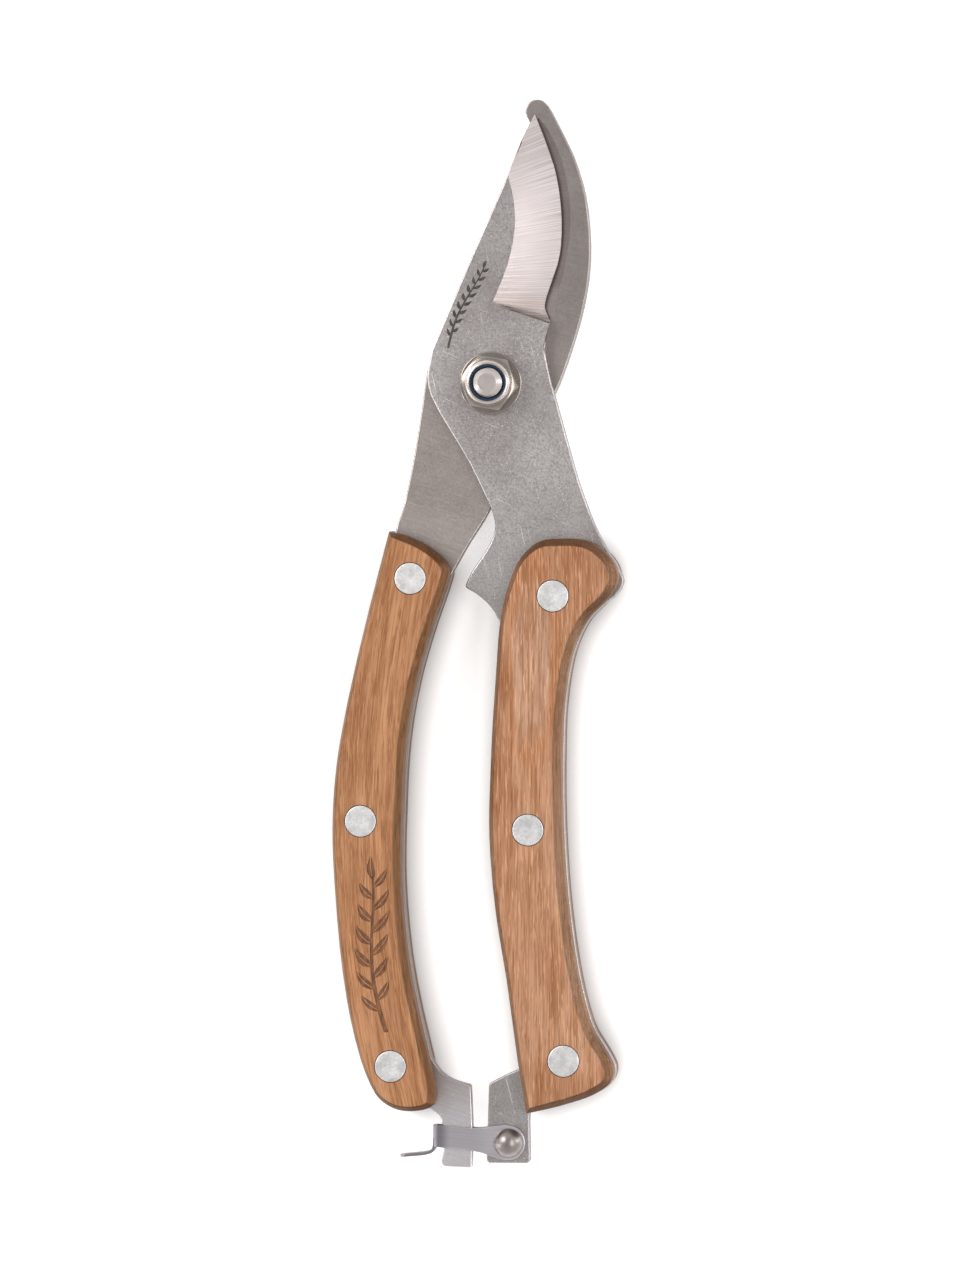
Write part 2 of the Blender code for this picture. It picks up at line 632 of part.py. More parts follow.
def make_spring(axis):
    """Torsion spring: a short coil whose ends turn down and up into the two plates."""
    middle = BLADE_Z - CLEAR
    low = middle - SPRING_PITCH * SPRING_TURNS / 2
    turn = 2 * math.pi * SPRING_TURNS
    bend = [(SPRING_BEND * math.sin(a), SPRING_BEND * (1 - math.cos(a)))
            for a in np.radians(np.linspace(90, 15, 6))]
    leg = SPRING_BEND + 0.3
    points = []
    for along, drop in [(SPRING_BEND, leg), *bend]:
        points.append((-along / SPRING_R, low - drop))
    points += [(turn * t, low + SPRING_PITCH * SPRING_TURNS * t) for t in np.linspace(0, 1, 33)]
    for along, drop in [*bend[::-1], (SPRING_BEND, leg)]:
        points.append((turn + along / SPRING_R, low + SPRING_PITCH * SPRING_TURNS + drop))
    curve = bpy.data.curves.new("return_spring", "CURVE")
    curve.dimensions = "3D"
    line = curve.splines.new("POLY")
    line.points.add(len(points) - 1)
    for point, (angle, z) in zip(line.points, points):
        place = Vector((SPRING_R * math.cos(angle), SPRING_R * math.sin(angle), z)) * MM
        point.co = (*place, 1)
    curve.bevel_depth = SPRING_WIRE_R * MM
    curve.bevel_resolution = 2
    curve.use_fill_caps = True
    curve.materials.append(material("return_spring", SPRING_STEEL))
    spring = bpy.data.objects.new("return_spring", curve)
    bpy.context.scene.collection.objects.link(spring)
    spring.parent = axis


# Latch

def make_latch(axis):
    """A strap folded round the left tab: two legs with eyes, and a thumb tab off the fold."""
    low = TANG_Z - LATCH_GAP - STRAP
    high = TANG_Z + PLATE + LATCH_GAP + STRAP
    inside = FOLD_R - STRAP
    outer = arc_profile((FOLD_X + FOLD_R, high - FOLD_R), FOLD_R, 90, 180, 5)
    outer += arc_profile((FOLD_X + FOLD_R, low + FOLD_R), FOLD_R, 180, 270, 5)
    inner = arc_profile((FOLD_X + FOLD_R, low + FOLD_R), inside, 270, 180, 4)
    inner += arc_profile((FOLD_X + FOLD_R, high - FOLD_R), inside, 180, 90, 4)
    fold = [(9, high), *outer, (9, low), (9, low + STRAP), *inner, (9, high - STRAP)]
    channel = stacked([[(x, y, z) for x, z in fold] for y in (-9, 9)])
    strap = combined(channel, "INTERSECT", prism(outline(LATCH_STRAP), low - 1, high + 1))

    tip = THUMB_TAB[-1][0]
    ends = [(-14.0, low + 0.35, 0), (-14.0, high - 0.35, 0), (tip - 0.1, high - 0.35, 1.2),
            (tip - 0.1, low + 0.35, 1.2)]
    shape = stacked([[(p.x, y, p.y) for p in outline(ends)] for y in (-9, 9)])
    thumb = combined(prism(band(THUMB_TAB, STRAP - 0.04), low - 1, high + 1), "INTERSECT", shape)

    eye = hole((0, 0), LATCH_RIVET_R + RIVET_FIT)
    latch = combined(combined(strap, "UNION", thumb), "DIFFERENCE", eye)
    node("latch", latch, BRIGHT, axis)

    under = low - CLEAR
    over = high + CLEAR
    dome_r = (DOME_R ** 2 + DOME ** 2) / (2 * DOME)
    dome_start = math.degrees(math.asin((dome_r - DOME) / dome_r))
    dome = arc_profile((0, over + 0.15 + DOME - dome_r), dome_r, dome_start, 82, 6)
    tail = arc_profile((1.2, under - 0.2), 0.9, -90, 0, 3)
    profile = [(0, under - 1.1), *tail, (2.1, under), (LATCH_RIVET_R, under),
               (LATCH_RIVET_R, over), (DOME_R, over), *dome, (0, over + 0.15 + DOME)]
    node("latch_rivet", lathe(profile, 24), BRIGHT, axis)


def main():
    for old in list(bpy.data.objects):
        bpy.data.objects.remove(old)
    fixed = axis_empty("fixed_handle", PIVOT)
    moving = axis_empty("moving_handle", PIVOT)
    swinging = axis_empty("latch_axis", (PIVOT[0] + LATCH_AXIS[0], PIVOT[1] + LATCH_AXIS[1]))
    make_blade_plate(fixed)
    make_hook_plate(moving)
    for side, grip, chamfer, rivets, axis in (
            ("right", RIGHT_GRIP, RIGHT_CHAMFER, RIGHT_RIVETS, fixed),
            ("left", LEFT_GRIP, LEFT_CHAMFER, LEFT_RIVETS, moving)):
        make_scale(f"scale_{side}_front", grip, chamfer, rivets, True, axis)
        make_scale(f"scale_{side}_back", grip, chamfer, rivets, False, axis)
        for number, place in enumerate(rivets, 1):
            make_rivet(f"rivet_{side}_{number}", place, axis)
    make_pivot(fixed)
    make_spring(fixed)
    make_latch(swinging)


main()
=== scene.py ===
"""The looks of the bypass secateurs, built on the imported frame.

Everything is in metres in the frame's own axes, with the pruner lying on its back. The
sizes below are in millimetres and are scaled where they are used. Each piece is made over
the CAD node that it stands for, from that node's own mesh or from its box.
"""

import math

import bmesh
import bpy
import numpy as np
from mathutils import Matrix, Vector, noise


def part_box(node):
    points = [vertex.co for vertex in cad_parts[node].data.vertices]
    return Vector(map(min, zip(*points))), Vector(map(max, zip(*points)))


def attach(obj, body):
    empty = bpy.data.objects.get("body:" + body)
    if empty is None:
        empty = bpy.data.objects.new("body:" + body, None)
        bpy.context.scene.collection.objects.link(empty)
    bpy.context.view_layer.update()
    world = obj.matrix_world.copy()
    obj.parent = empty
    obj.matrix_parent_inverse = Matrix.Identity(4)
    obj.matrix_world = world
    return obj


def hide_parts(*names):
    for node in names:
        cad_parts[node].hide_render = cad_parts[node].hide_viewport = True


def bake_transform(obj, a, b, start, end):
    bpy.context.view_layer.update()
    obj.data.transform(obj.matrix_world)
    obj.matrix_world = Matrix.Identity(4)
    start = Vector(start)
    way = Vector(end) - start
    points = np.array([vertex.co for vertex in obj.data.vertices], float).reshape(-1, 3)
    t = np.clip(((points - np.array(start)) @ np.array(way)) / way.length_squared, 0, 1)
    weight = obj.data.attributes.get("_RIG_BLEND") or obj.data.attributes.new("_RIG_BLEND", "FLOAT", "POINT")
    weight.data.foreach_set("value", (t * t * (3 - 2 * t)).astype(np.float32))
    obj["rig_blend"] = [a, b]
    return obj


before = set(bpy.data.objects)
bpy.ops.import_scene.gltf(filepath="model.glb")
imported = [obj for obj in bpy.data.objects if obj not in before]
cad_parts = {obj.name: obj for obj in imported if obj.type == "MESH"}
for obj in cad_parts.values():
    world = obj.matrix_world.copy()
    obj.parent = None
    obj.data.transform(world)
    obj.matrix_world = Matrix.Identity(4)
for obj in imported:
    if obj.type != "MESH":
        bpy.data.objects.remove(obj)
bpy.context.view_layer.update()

MM = 0.001

# Rounding of edges
PLATE_ROUND = 0.32
LEAST_ROUND = 0.02
THIN_WALL = 0.9                         # a plate's edge on a wall this low stays almost sharp
ROUND_PER_WALL = 0.28                   # and gains this much for each millimetre more
WOOD_ROUND = 0.42
WOOD_FOOT_ROUND = 0.12
STRAP_ROUND = 0.14
HEX_ROUND = 0.12
SHARP = 32.0                            # an unrounded edge that turns more is a crisp one
STRAP_CORNER = 40.0                     # the latch's edges that turn more are rounded
HEX_CORNER = 25.0                       # and so are the nut's and bolt head's, if long enough
HEX_EDGE = 0.8
TOO_SHORT = 0.1                         # plate edges shorter than this are closed up
ONE_FACE = 0.7                          # faces that turn less from each other become one
FLAT_WEIGHT = 80                        # how much large faces steer the smooth normals

# Wooden scales
STATION = 1.1                           # spacing of the sections that a scale is lofted over
HAND_SANDED = 0.11                      # how far the chamfer's inner edge wanders
SANDING_WAVE = 9.0
OUTLINE_TURN = 5.0                      # an edge of the outline turns at least this much
LEVEL = 0.01                            # how far its points may be from its height

# Rivets and what they are sunk in
RIVET_R = 3.1
RIVET_RIM = 0.2
RIVET_DIMPLE = 0.1
RIVET_DIMPLE_R = 2.2
RIVET_DEPTH = 1.25
RIVET_CHAMFER = 0.1
RIVET_HOLE_R = 2.15
COUNTERBORE_R = 3.2
COUNTERBORE = 1.4
SEAT_R = 3.6                            # what is nearer to a rivet's axis belongs to its seat

# Bolt, washer and nut
ACROSS_FLATS = 10.0
HEX_CHAMFER = 0.2                       # how far inside the flats it starts
HEX_OVERHANG = 0.4                      # how far the chamfer's cone reaches past the corners
THREAD_R = 2.95
THREAD_PITCH = 1.0
THREAD_DEPTH = 0.35
THREAD_STEPS = 12                       # rings of points in each turn
BOLT_POINT_R = 1.8
BOLT_TAPER = 1.2                        # widening for each millimetre below the point
WASHER_R = 6.15
WASHER_HOLE_R = 3.2
WASHER_ROUND = 0.25
NUT_HEIGHT = 4.4                        # of its hexagon
NUT_TURN = -9.0                         # in degrees
NUT_BORE_R = 3.1
NUT_SEAT_R = 3.95                       # of the wider bore that the collar stands in
COLLAR_R = 4.4
COLLAR_FOOT = 3.0                       # how high it starts in the nut
COLLAR_ROUND = 0.75
COLLAR_LIP = 0.55                       # how thick the crimped lip over the nylon ring is
NYLON_R = (3.03, 4.03)                  # inner and outer

# Latch rivet
DOME_GAP = 0.1                          # between the strap and the rivet's two ends
DOME_BRIM = 0.12                        # height of the straight rim under the dome
TAIL_R = 2.0
TAIL_ROUND = 0.9
SHANK_R = 1.5

SPRING_COIL = 1.5                       # the height that the return spring winds up over

# Ornaments: a branch burnt into the left handle, and a small one etched on the blade. A leaf
# has a length, a width and half the width of the rib left along it
BRANCH_DEPTH = 0.16
BRANCH_SPAN = (0.86, 0.13)              # between the middle and bottom rivet, from its foot
BRANCH_LEAF = (5.2, 1.7, 0.1)
BRANCH_PAIRS = 6
ETCH_DEPTH = 0.04
ETCH_START = (-8.5, 6.9)                # from the pivot
ETCH_END = (-1.4, 24.5)
ETCH_LEAF = (1.9, 0.7, 0.0)
ETCH_PAIRS = 8
CUT_CLEAR = 0.5                         # how far a cutter stands over the surface it cuts

# Slopes of the plates' heads, which start this far above the pivot, by their lean in degrees
HEAD_START = 10.0
UPRIGHT = 88.0
GRIND_LEAN = (4.0, 30.0)
SCOOP_LEAN = (30.0, UPRIGHT)
RELIEF_LEAN = (3.0, 60.0)
LAND = 0.4                              # upright faces lower than this belong to the grind

# Camera and floor
CAMERA_HEIGHT = 1500.0                  # over the front scales' middle
CAMERA_FOOT = (167.3, 23.0)             # where it stands over, from the tool's middle
CAMERA_AIM = (2.1, -1.1, 9.75)
SENSOR = 36.0
VIEW_HEIGHT = 251.2                     # what the frame's long side takes in at the tool
FLOOR_HALF = 4000.0
FLOOR_DROP = 0.2                        # below the tool
FLOOR_GLOW = 0.55
CONTACT_SHADOW_REACH = 6.0                     # how far the painted contact shadow round the tool goes
CONTACT_SHADOW_LEAN = (-0.3, 0.3, 0.9)         # to the light, so that the painted shadow is wider behind the tool
CONTACT_SHADOW_GREYS = ((0.25, 0.23), (0.9, 0.93))   # greys of the painted shadow, by how open the floor is there

# Studio, in metres and watts. The sky's brightness goes by height, from below to above. A
# light has its place, its size, its power and its colour
SKY = ((0.0, 1.05), (0.25, 0.95), (0.62, 1.0), (0.86, 0.62), (1.0, 0.5))
SKY_TINT = (1.0, 0.985, 0.97)
LIGHTS = (
    ("key", (-0.95, 0.55, 1.15), (0.8, 0.8), 11, (1, 1, 1)),
    ("fill", (0.72, -0.1, 1.25), (0.35, 0.9), 5, (1.0, 0.97, 0.96)),
    ("rim_left", (-1.3, -0.5, 0.35), (0.9, 0.25), 3, (1, 1, 1)),
    ("rim_right", (1.3, 0.2, 0.35), (0.9, 0.25), 2.5, (1, 1, 1)),
)


def centre_of(node):
    low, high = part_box(node)
    return (low + high) / 2


PIVOT = centre_of("pivot_washer")
LATCH_PIN = centre_of("latch_rivet")
RIVETS = [centre_of(n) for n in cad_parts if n.startswith("rivet_") and n.endswith("_front")]
MATERIALS = {}


def link_mesh(name, bm, materials=()):
    """A new object in the scene that takes over the bmesh."""
    mesh = bpy.data.meshes.new(name)
    bm.to_mesh(mesh)
    bm.free()
    for material in materials:
        mesh.materials.append(material)
    thing = bpy.data.objects.new(name, mesh)
    bpy.context.scene.collection.objects.link(thing)
    return thing


# Camera, floor and lights

def facing(place, target, up):
    """Rotation of a camera or light that looks from one place at another."""
    back = (place - target).normalized()
    right = up.cross(back).normalized()
    return Matrix((right, back.cross(right), back)).transposed().to_4x4()


def make_camera():
    aim = Vector(CAMERA_AIM) * MM
    place = Vector((*CAMERA_FOOT, CAMERA_AIM[2] + CAMERA_HEIGHT)) * MM
    data = bpy.data.cameras.new("camera")
    data.sensor_width = SENSOR
    data.lens = data.sensor_width * (place - aim).length / (VIEW_HEIGHT * MM)
    data.clip_start = 0.01
    camera = bpy.data.objects.new("camera", data)
    camera.matrix_world = Matrix.Translation(place) @ facing(place, aim, Vector((0, 1, 0)))
    bpy.context.scene.collection.objects.link(camera)
    bpy.context.scene.camera = camera


def area_light(name, place, size, power, colour):
    data = bpy.data.lights.new(name, "AREA")
    data.shape = "RECTANGLE"
    data.size, data.size_y = size
    data.energy = power
    data.color = colour
    light = bpy.data.objects.new(name, data)
    place = Vector(place)
    turn = facing(place, Vector((0, 0, 0)), Vector((0, 1, 0.01)))
    light.matrix_world = Matrix.Translation(place) @ turn
    bpy.context.scene.collection.objects.link(light)


def make_floor():
    """A pale glowing sheet with a painted soft shadow round where the tool stands on it."""
    s = Shader("floor", 0.0, 0.9)
    s.surface.inputs["Emission Strength"].default_value = FLOOR_GLOW
    s.surface.inputs["Specular IOR Level"].default_value = 0.1
    contact_shadow = s.nodes.new("ShaderNodeAmbientOcclusion")
    contact_shadow.samples = 16
    contact_shadow.inputs["Distance"].default_value = CONTACT_SHADOW_REACH * MM
    contact_shadow.inputs["Normal"].default_value = Vector(CONTACT_SHADOW_LEAN).normalized()
    # painted contact shadow: the floor's colour and glow are darker where nearby parts hide it
    shade = s.ramp(contact_shadow.outputs["AO"], [(at, (level,) * 3) for at, level in CONTACT_SHADOW_GREYS])
    s.colour(shade)
    s.put(s.surface.inputs["Emission Color"], shade)
    bm = bmesh.new()
    bmesh.ops.create_grid(bm, x_segments=1, y_segments=1, size=FLOOR_HALF * MM)
    floor = link_mesh("floor", bm, [s.material])
    floor.location.z = -FLOOR_DROP * MM


def make_sky():
    world = bpy.data.worlds.new("studio")
    bpy.context.scene.world = world
    world.use_nodes = True
    s = Nodes(world.node_tree)
    height = s.split(s.nodes.new("ShaderNodeTexCoord").outputs["Generated"])["Z"]
    sky = s.ramp(height, [(at, [level * tint for tint in SKY_TINT]) for at, level in SKY])
    s.put(s.nodes["Background"].inputs["Color"], sky)


def make_studio():
    make_floor()
    make_sky()
    for light in LIGHTS:
        area_light(*light)
    bpy.context.scene.view_settings.view_transform = "Standard"


# Materials

class Nodes:
    """A node tree and the nodes that are added to it."""

    def __init__(self, tree):
        self.nodes = tree.nodes
        self.links = tree.links

    def put(self, socket, value):
        if isinstance(value, bpy.types.NodeSocket):
            self.links.new(value, socket)
        else:
            socket.default_value = value

    def mapped(self, vector, scale=(1, 1, 1), turn=0.0, shift=(0, 0, 0)):
        """The vector scaled, then turned about Z, then shifted."""
        node = self.nodes.new("ShaderNodeMapping")
        self.put(node.inputs["Vector"], vector)
        node.inputs["Scale"].default_value = scale
        node.inputs["Rotation"].default_value = (0, 0, turn)
        node.inputs["Location"].default_value = shift
        return node.outputs[0]

    def noise(self, vector, detail, roughness, scale=1.0, distortion=0.0):
        node = self.nodes.new("ShaderNodeTexNoise")
        self.put(node.inputs["Vector"], vector)
        node.inputs["Scale"].default_value = scale
        node.inputs["Detail"].default_value = detail
        node.inputs["Roughness"].default_value = roughness
        node.inputs["Distortion"].default_value = distortion
        return node.outputs["Fac"]

    def maths(self, operation, *values):
        node = self.nodes.new("ShaderNodeMath")
        node.operation = operation
        for socket, value in zip(node.inputs, values):
            self.put(socket, value)
        return node.outputs[0]

    def squared(self, parts):
        """The square of how far a split vector's X and Y are from zero."""
        x, y = (self.maths("MULTIPLY", parts[axis], parts[axis]) for axis in "XY")
        return self.maths("ADD", x, y)

    def swing(self, value, reach):
        """A noise as a number that goes up and down round zero."""
        return self.maths("MULTIPLY", self.maths("SUBTRACT", value, 0.5), reach)

    def between(self, value, low=0.3, high=0.7, out_low=0.0, out_high=1.0):
        """The value taken from a range, by default a noise's, to another, and held at its ends."""
        node = self.nodes.new("ShaderNodeMapRange")
        node.interpolation_type = "SMOOTHSTEP"
        self.put(node.inputs["Value"], value)
        node.inputs["From Min"].default_value = low
        node.inputs["From Max"].default_value = high
        node.inputs["To Min"].default_value = out_low
        node.inputs["To Max"].default_value = out_high
        return node.outputs["Result"]

    def ramp(self, value, stops):
        """A colour for the value, from stops of (position, (red, green, blue))."""
        node = self.nodes.new("ShaderNodeValToRGB")
        self.put(node.inputs["Fac"], value)
        elements = node.color_ramp.elements
        while len(elements) < len(stops):
            elements.new(0.5)
        for element, (position, colour) in zip(elements, stops):
            element.position = position
            element.color = (*colour, 1)
        return node.outputs["Color"]

    def mix(self, share, one, other, how="MIX"):
        node = self.nodes.new("ShaderNodeMix")
        node.data_type = "RGBA"
        node.blend_type = how
        self.put(node.inputs["Factor"], share)
        self.put(node.inputs["A"], one)
        self.put(node.inputs["B"], other)
        return node.outputs["Result"]

    def tinted(self, share, tone, factors):
        """The tone with a share of itself multiplied by three factors."""
        return self.mix(share, tone, self.mix(1.0, tone, (*factors, 1), "MULTIPLY"))

    def veined(self, tone, marks, spread, share, light, dark):
        """The tone with light lines where the marks are high and dark ones where they are low."""
        tone = self.mix(self.between(marks, 0.5, 0.5 + spread, 0.0, share), tone, light)
        return self.mix(self.between(marks, 0.5, 0.5 - spread, 0.0, share), tone, dark)

    def split(self, vector):
        node = self.nodes.new("ShaderNodeSeparateXYZ")
        self.put(node.inputs[0], vector)
        return node.outputs

    def joined(self, x, y, z):
        node = self.nodes.new("ShaderNodeCombineXYZ")
        for socket, value in zip(node.inputs, (x, y, z)):
            self.put(socket, value)
        return node.outputs[0]


class Shader(Nodes):
    """A new material. Its mm is the place on the object in millimetres."""

    def __init__(self, name, metallic, roughness):
        self.material = bpy.data.materials.new(name)
        self.material.use_nodes = True
        super().__init__(self.material.node_tree)
        self.surface = self.nodes["Principled BSDF"]
        self.surface.inputs["Metallic"].default_value = metallic
        self.surface.inputs["Roughness"].default_value = roughness
        place = self.nodes.new("ShaderNodeTexCoord").outputs["Object"]
        self.mm = self.mapped(place, (1 / MM,) * 3)

    def flatness(self, normal):
        """How much a normal points straight up or down, from 0 on a wall to 1."""
        return self.maths("ABSOLUTE", self.split(normal)["Z"])

    def bump(self, height, depth):
        """Relief of the given depth in millimetres, from a height between 0 and 1."""
        node = self.nodes.new("ShaderNodeBump")
        node.inputs["Distance"].default_value = depth * MM
        self.put(node.inputs["Height"], height)
        last = self.surface.inputs["Normal"]
        if last.is_linked:
            self.links.new(last.links[0].from_socket, node.inputs["Normal"])
        self.links.new(node.outputs[0], last)

    def colour(self, value):
        self.put(self.surface.inputs["Base Color"], value)

    def roughness(self, value):
        self.put(self.surface.inputs["Roughness"], value)


def rgb(red, green, blue):
    """A display colour of 0 to 255 a channel as a linear one."""
    linear = [((c / 255 + 0.055) / 1.055) ** 2.4 for c in (red, green, blue)]
    return (*linear, 1.0)


def scaled(tone, factor):
    return (*(min(1.0, c * factor) for c in tone[:3]), 1.0)


FAN_REACH = 65.0                        # the radius at which a grinding mark's width is true
SCRATCHES = ((1.35, (3, 8, 1)), (0.4, (7, 2, 5)))   # their turn and where their noise starts
SCRATCH_TONE = (0.93, 0.92, 0.90, 1)
FLAME_EDGE = (0.97, 0.84, 0.70)         # what a flame in the wood multiplies the colour by
FLAME_HEART = (1.12, 1.44, 1.95)


def steel(name, light, dark, roughness, streak=None, specks=0.0, mottling=0.0, painted_light_and_shade=(),
          metallic=1.0, fan=None, walls=0.45):
    """Stainless steel: clouds, fine bright specks, short scratches and brushing in one direction.

    A streak is the brushing's turn, how wide a mark is, how long, and how strong. A fan is the
    place that grinding marks spread from, and the same three. A painted light and shade is
    (axis, start, stop, factors): past start along the axis the colour is multiplied by more and
    more of the factors, until stop, painting a zone darker or lighter. Upright faces get painted
    shade: they are darker, by the factor for walls.
    """
    s = Shader(name, metallic, roughness)
    clouds = s.noise(s.mm, 3, 0.55, 0.06)
    tone = s.mix(s.between(clouds), dark, light)
    mottle = s.noise(s.mm, 3, 0.7, 2.6)
    tone = s.mix(s.between(mottle, 0.36, 0.56, mottling, 0.0), tone, scaled(dark, 0.62))
    height = mottle
    if streak:
        turn, width, length, strength = streak
        brushed = s.noise(s.mapped(s.mapped(s.mm, turn=turn), (1 / length, 1 / width, 1)), 3, 0.65)
        tone = s.veined(tone, brushed, 0.14, strength, scaled(light, 1.45), scaled(dark, 0.6))
        height = brushed
        if mottling:
            height = s.maths("ADD", brushed, s.maths("MULTIPLY", mottle, 0.3))
    if fan:
        (x, y), width, length, strength = fan
        spot = s.split(s.mapped(s.mm, shift=(-x, -y, 0)))
        away = s.maths("SQRT", s.squared(spot))
        around = s.maths("MULTIPLY", s.maths("ARCTAN2", spot["Y"], spot["X"]), FAN_REACH)
        height = s.noise(s.mapped(s.joined(away, around, 0.0), (1 / length, 1 / width, 1)), 2, 0.6)
        tone = s.veined(tone, height, 0.16, strength, scaled(light, 1.4), scaled(dark, 0.6))
    if specks:
        fine = s.noise(s.mm, 1, 0.5, 4.6)
        sparse = s.noise(s.mapped(s.mm, (0.25,) * 3, shift=(9, 4, 0)), 2, 0.5)
        marks = s.maths("MULTIPLY", s.between(fine, 0.66, 0.71), s.between(sparse, 0.3, 0.6))
        pits = s.noise(s.mapped(s.mm, (3.6,) * 3, shift=(1, 6, 3)), 1, 0.5)
        tone = s.mix(s.between(pits, 0.69, 0.75, 0.0, 0.6 * specks), tone, scaled(dark, 0.5))
        for turn, shift in SCRATCHES:
            line = s.noise(s.mapped(s.mapped(s.mm, turn=turn), (0.11, 5.0, 1), shift=shift), 0, 0.5)
            rare = s.noise(s.mapped(s.mm, (0.3,) * 3, shift=shift), 1, 0.5)
            line = s.maths("MULTIPLY", s.between(line, 0.72, 0.8, 0.0, 0.6),
                           s.between(rare, 0.5, 0.62))
            marks = s.maths("MAXIMUM", marks, line)
        tone = s.mix(s.maths("MULTIPLY", marks, specks), tone, SCRATCH_TONE)
    # painted light and shade: zones along an axis are made darker or lighter
    for axis, start, stop, factors in painted_light_and_shade:
        tone = s.tinted(s.between(s.split(s.mm)[axis], start, stop), tone, factors)
    # painted shade on upright faces: they are darker by the factor for walls
    normal = s.nodes.new("ShaderNodeNewGeometry").outputs["Normal"]
    wall = s.between(s.flatness(normal), 0.2, 0.55, 1.0, 0.0)
    s.colour(s.tinted(wall, tone, (walls,) * 3))
    wear = mottle if mottling else clouds
    s.roughness(s.between(wear, 0.25, 0.75, roughness * 0.88, roughness * 1.14))
    s.bump(height, 0.005)
    return s.material


def polished(name, tone, roughness, turned_round=None):
    """A machined or polished metal with faint wear, and turning marks where it has an axis."""
    s = Shader(name, 1.0, roughness)
    cloud = s.noise(s.mm, 3, 0.5, 0.5)
    s.colour(s.mix(s.between(cloud), scaled(tone, 0.88), tone))
    s.roughness(s.between(cloud, 0.3, 0.7, roughness * 1.2, roughness * 0.9))
    if turned_round:
        spot = s.split(s.mapped(s.mm, shift=(-turned_round.x / MM, -turned_round.y / MM, 0)))
        away = s.maths("SQRT", s.squared(spot))
        marks = s.noise(s.joined(away, 0.0, 0.0), 1, 0.5, 3.0)
    else:
        marks = s.noise(s.mm, 2, 0.5, 2.0)
    s.bump(marks, 0.0015)
    return s.material


def rivet_metal():
    """Soft aluminium that has been hammered flat and sanded with the wood."""
    s = Shader("rivet_aluminium", 1.0, 0.42)
    cloud = s.noise(s.mm, 4, 0.6, 0.4)
    fine = s.noise(s.mm, 3, 0.7, 3.0)
    tone = s.mix(s.between(cloud, 0.35, 0.65), rgb(206, 205, 206), rgb(230, 229, 228))
    s.colour(s.mix(s.between(fine, 0.38, 0.62, 0.22, 0.0), tone, rgb(160, 160, 161)))
    s.roughness(s.between(fine, 0.3, 0.7, 0.4, 0.5))
    s.bump(cloud, 0.03)
    s.bump(fine, 0.01)
    return s.material


def wood(name, pale, tan, deep, grain):
    """Oiled open-pored wood. Its grain runs along Y, and bows and wavers a little.

    A flame is the middle and the half width and height of a pale figure with a warm edge.
    """
    s = Shader(name, 0.0, 0.5)
    s.surface.inputs["Specular IOR Level"].default_value = 0.2
    place = s.mapped(s.mm, shift=grain["shift"])
    parts = s.split(place)
    bow = s.maths("MULTIPLY", s.maths("MULTIPLY", parts["Y"], parts["Y"]), grain["bow"])
    waver = s.noise(s.mapped(place, (0.02, 0.03, 0.03)), 2, 0.5)
    across = s.maths("ADD", s.maths("ADD", parts["X"], bow),
                     s.maths("MULTIPLY", waver, grain["waver"]))
    along = s.joined(across, parts["Y"], parts["Z"])

    def lines(scale, shift, detail, roughness, distortion=0.0):
        return s.noise(s.mapped(along, scale, shift=shift), detail, roughness, 1.0, distortion)

    fibre = lines((3.6, 0.09, 3.0), (0, 0, 0), 3, 0.7)
    broad = lines((0.6, 0.025, 0.5), (4, 1, 7), 4, 0.65)
    figure = lines(grain["figure"], (1, 3, 2), 2, 0.5, 0.3)
    patch = lines((0.11, 0.022, 0.1), (6, 3, 8), 3, 0.6, 0.5)
    hairs = lines((7.0, 0.16, 6.0), (5, 8, 2), 1, 0.5)
    flecks = lines((3.4, 0.2, 2.8), (7, 2, 9), 2, 0.55)
    pores = s.between(lines((4.0, 0.26, 3.4), (2, 5, 3), 2, 0.55), 0.60, 0.70)
    rings = s.maths("MULTIPLY", s.maths("ADD", figure, s.swing(fibre, 0.3)), grain["rings"])
    rings = s.between(s.maths("PINGPONG", rings, 0.5), grain["ring_from"], 0.5)

    tone = s.mix(s.between(broad, 0.36, 0.62), tan, pale)
    tone = s.mix(s.between(patch, 0.49, 0.56, 0.0, grain["patch_share"]), tone, deep)
    tone = s.mix(s.maths("MULTIPLY", rings, grain["ring_share"]), tone, deep)
    tone = s.veined(tone, fibre, 0.16, grain["fibre_share"], scaled(pale, 1.42), scaled(deep, 0.95))
    tone = s.mix(s.between(hairs, 0.54, 0.66, 0.0, 0.3), tone, scaled(pale, 1.35))
    tone = s.mix(s.between(flecks, 0.56, 0.68, 0.0, grain["fleck_share"]), tone, scaled(pale, 1.5))
    tone = s.mix(s.maths("MULTIPLY", pores, grain["pore_share"]), tone, scaled(deep, 0.55))

    if "flame" in grain:
        x, y, wide, tall = grain["flame"]
        spot = s.mapped(s.mm, (1 / wide, 1 / tall, 0), shift=(-x / wide, -y / tall, 0))
        ragged = s.maths("ADD", s.squared(s.split(spot)), s.swing(fibre, 2.2))
        ragged = s.maths("ADD", ragged, s.swing(patch, 3.0))
        tone = s.tinted(s.between(ragged, 2.1, 1.0, 0.0, 0.75), tone, FLAME_EDGE)
        tone = s.tinted(s.between(ragged, 1.1, 0.7, 0.0, 0.8), tone, FLAME_HEART)

    normal = s.nodes.new("ShaderNodeTexCoord").outputs["Normal"]
    # painted shade on the chamfers and side walls: darker where a face turns from flat
    side = s.between(s.flatness(normal), 0.80, 0.97, 1.0, 0.0)
    # faces across the grain are darker, partly as end grain and partly as painted shade on the end chamfers
    end_grain_and_shade = s.between(s.maths("ABSOLUTE", s.split(normal)["Y"]), 0.25, 0.6)
    tone = s.tinted(side, tone, rgb(198, 200, 196)[:3])
    s.colour(s.tinted(end_grain_and_shade, tone, rgb(188, 172, 150)[:3]))
    s.roughness(s.between(fibre, 0.3, 0.7, 0.46, 0.6))
    s.bump(s.maths("SUBTRACT", fibre, s.maths("MULTIPLY", pores, 1.2)), 0.035)
    return s.material


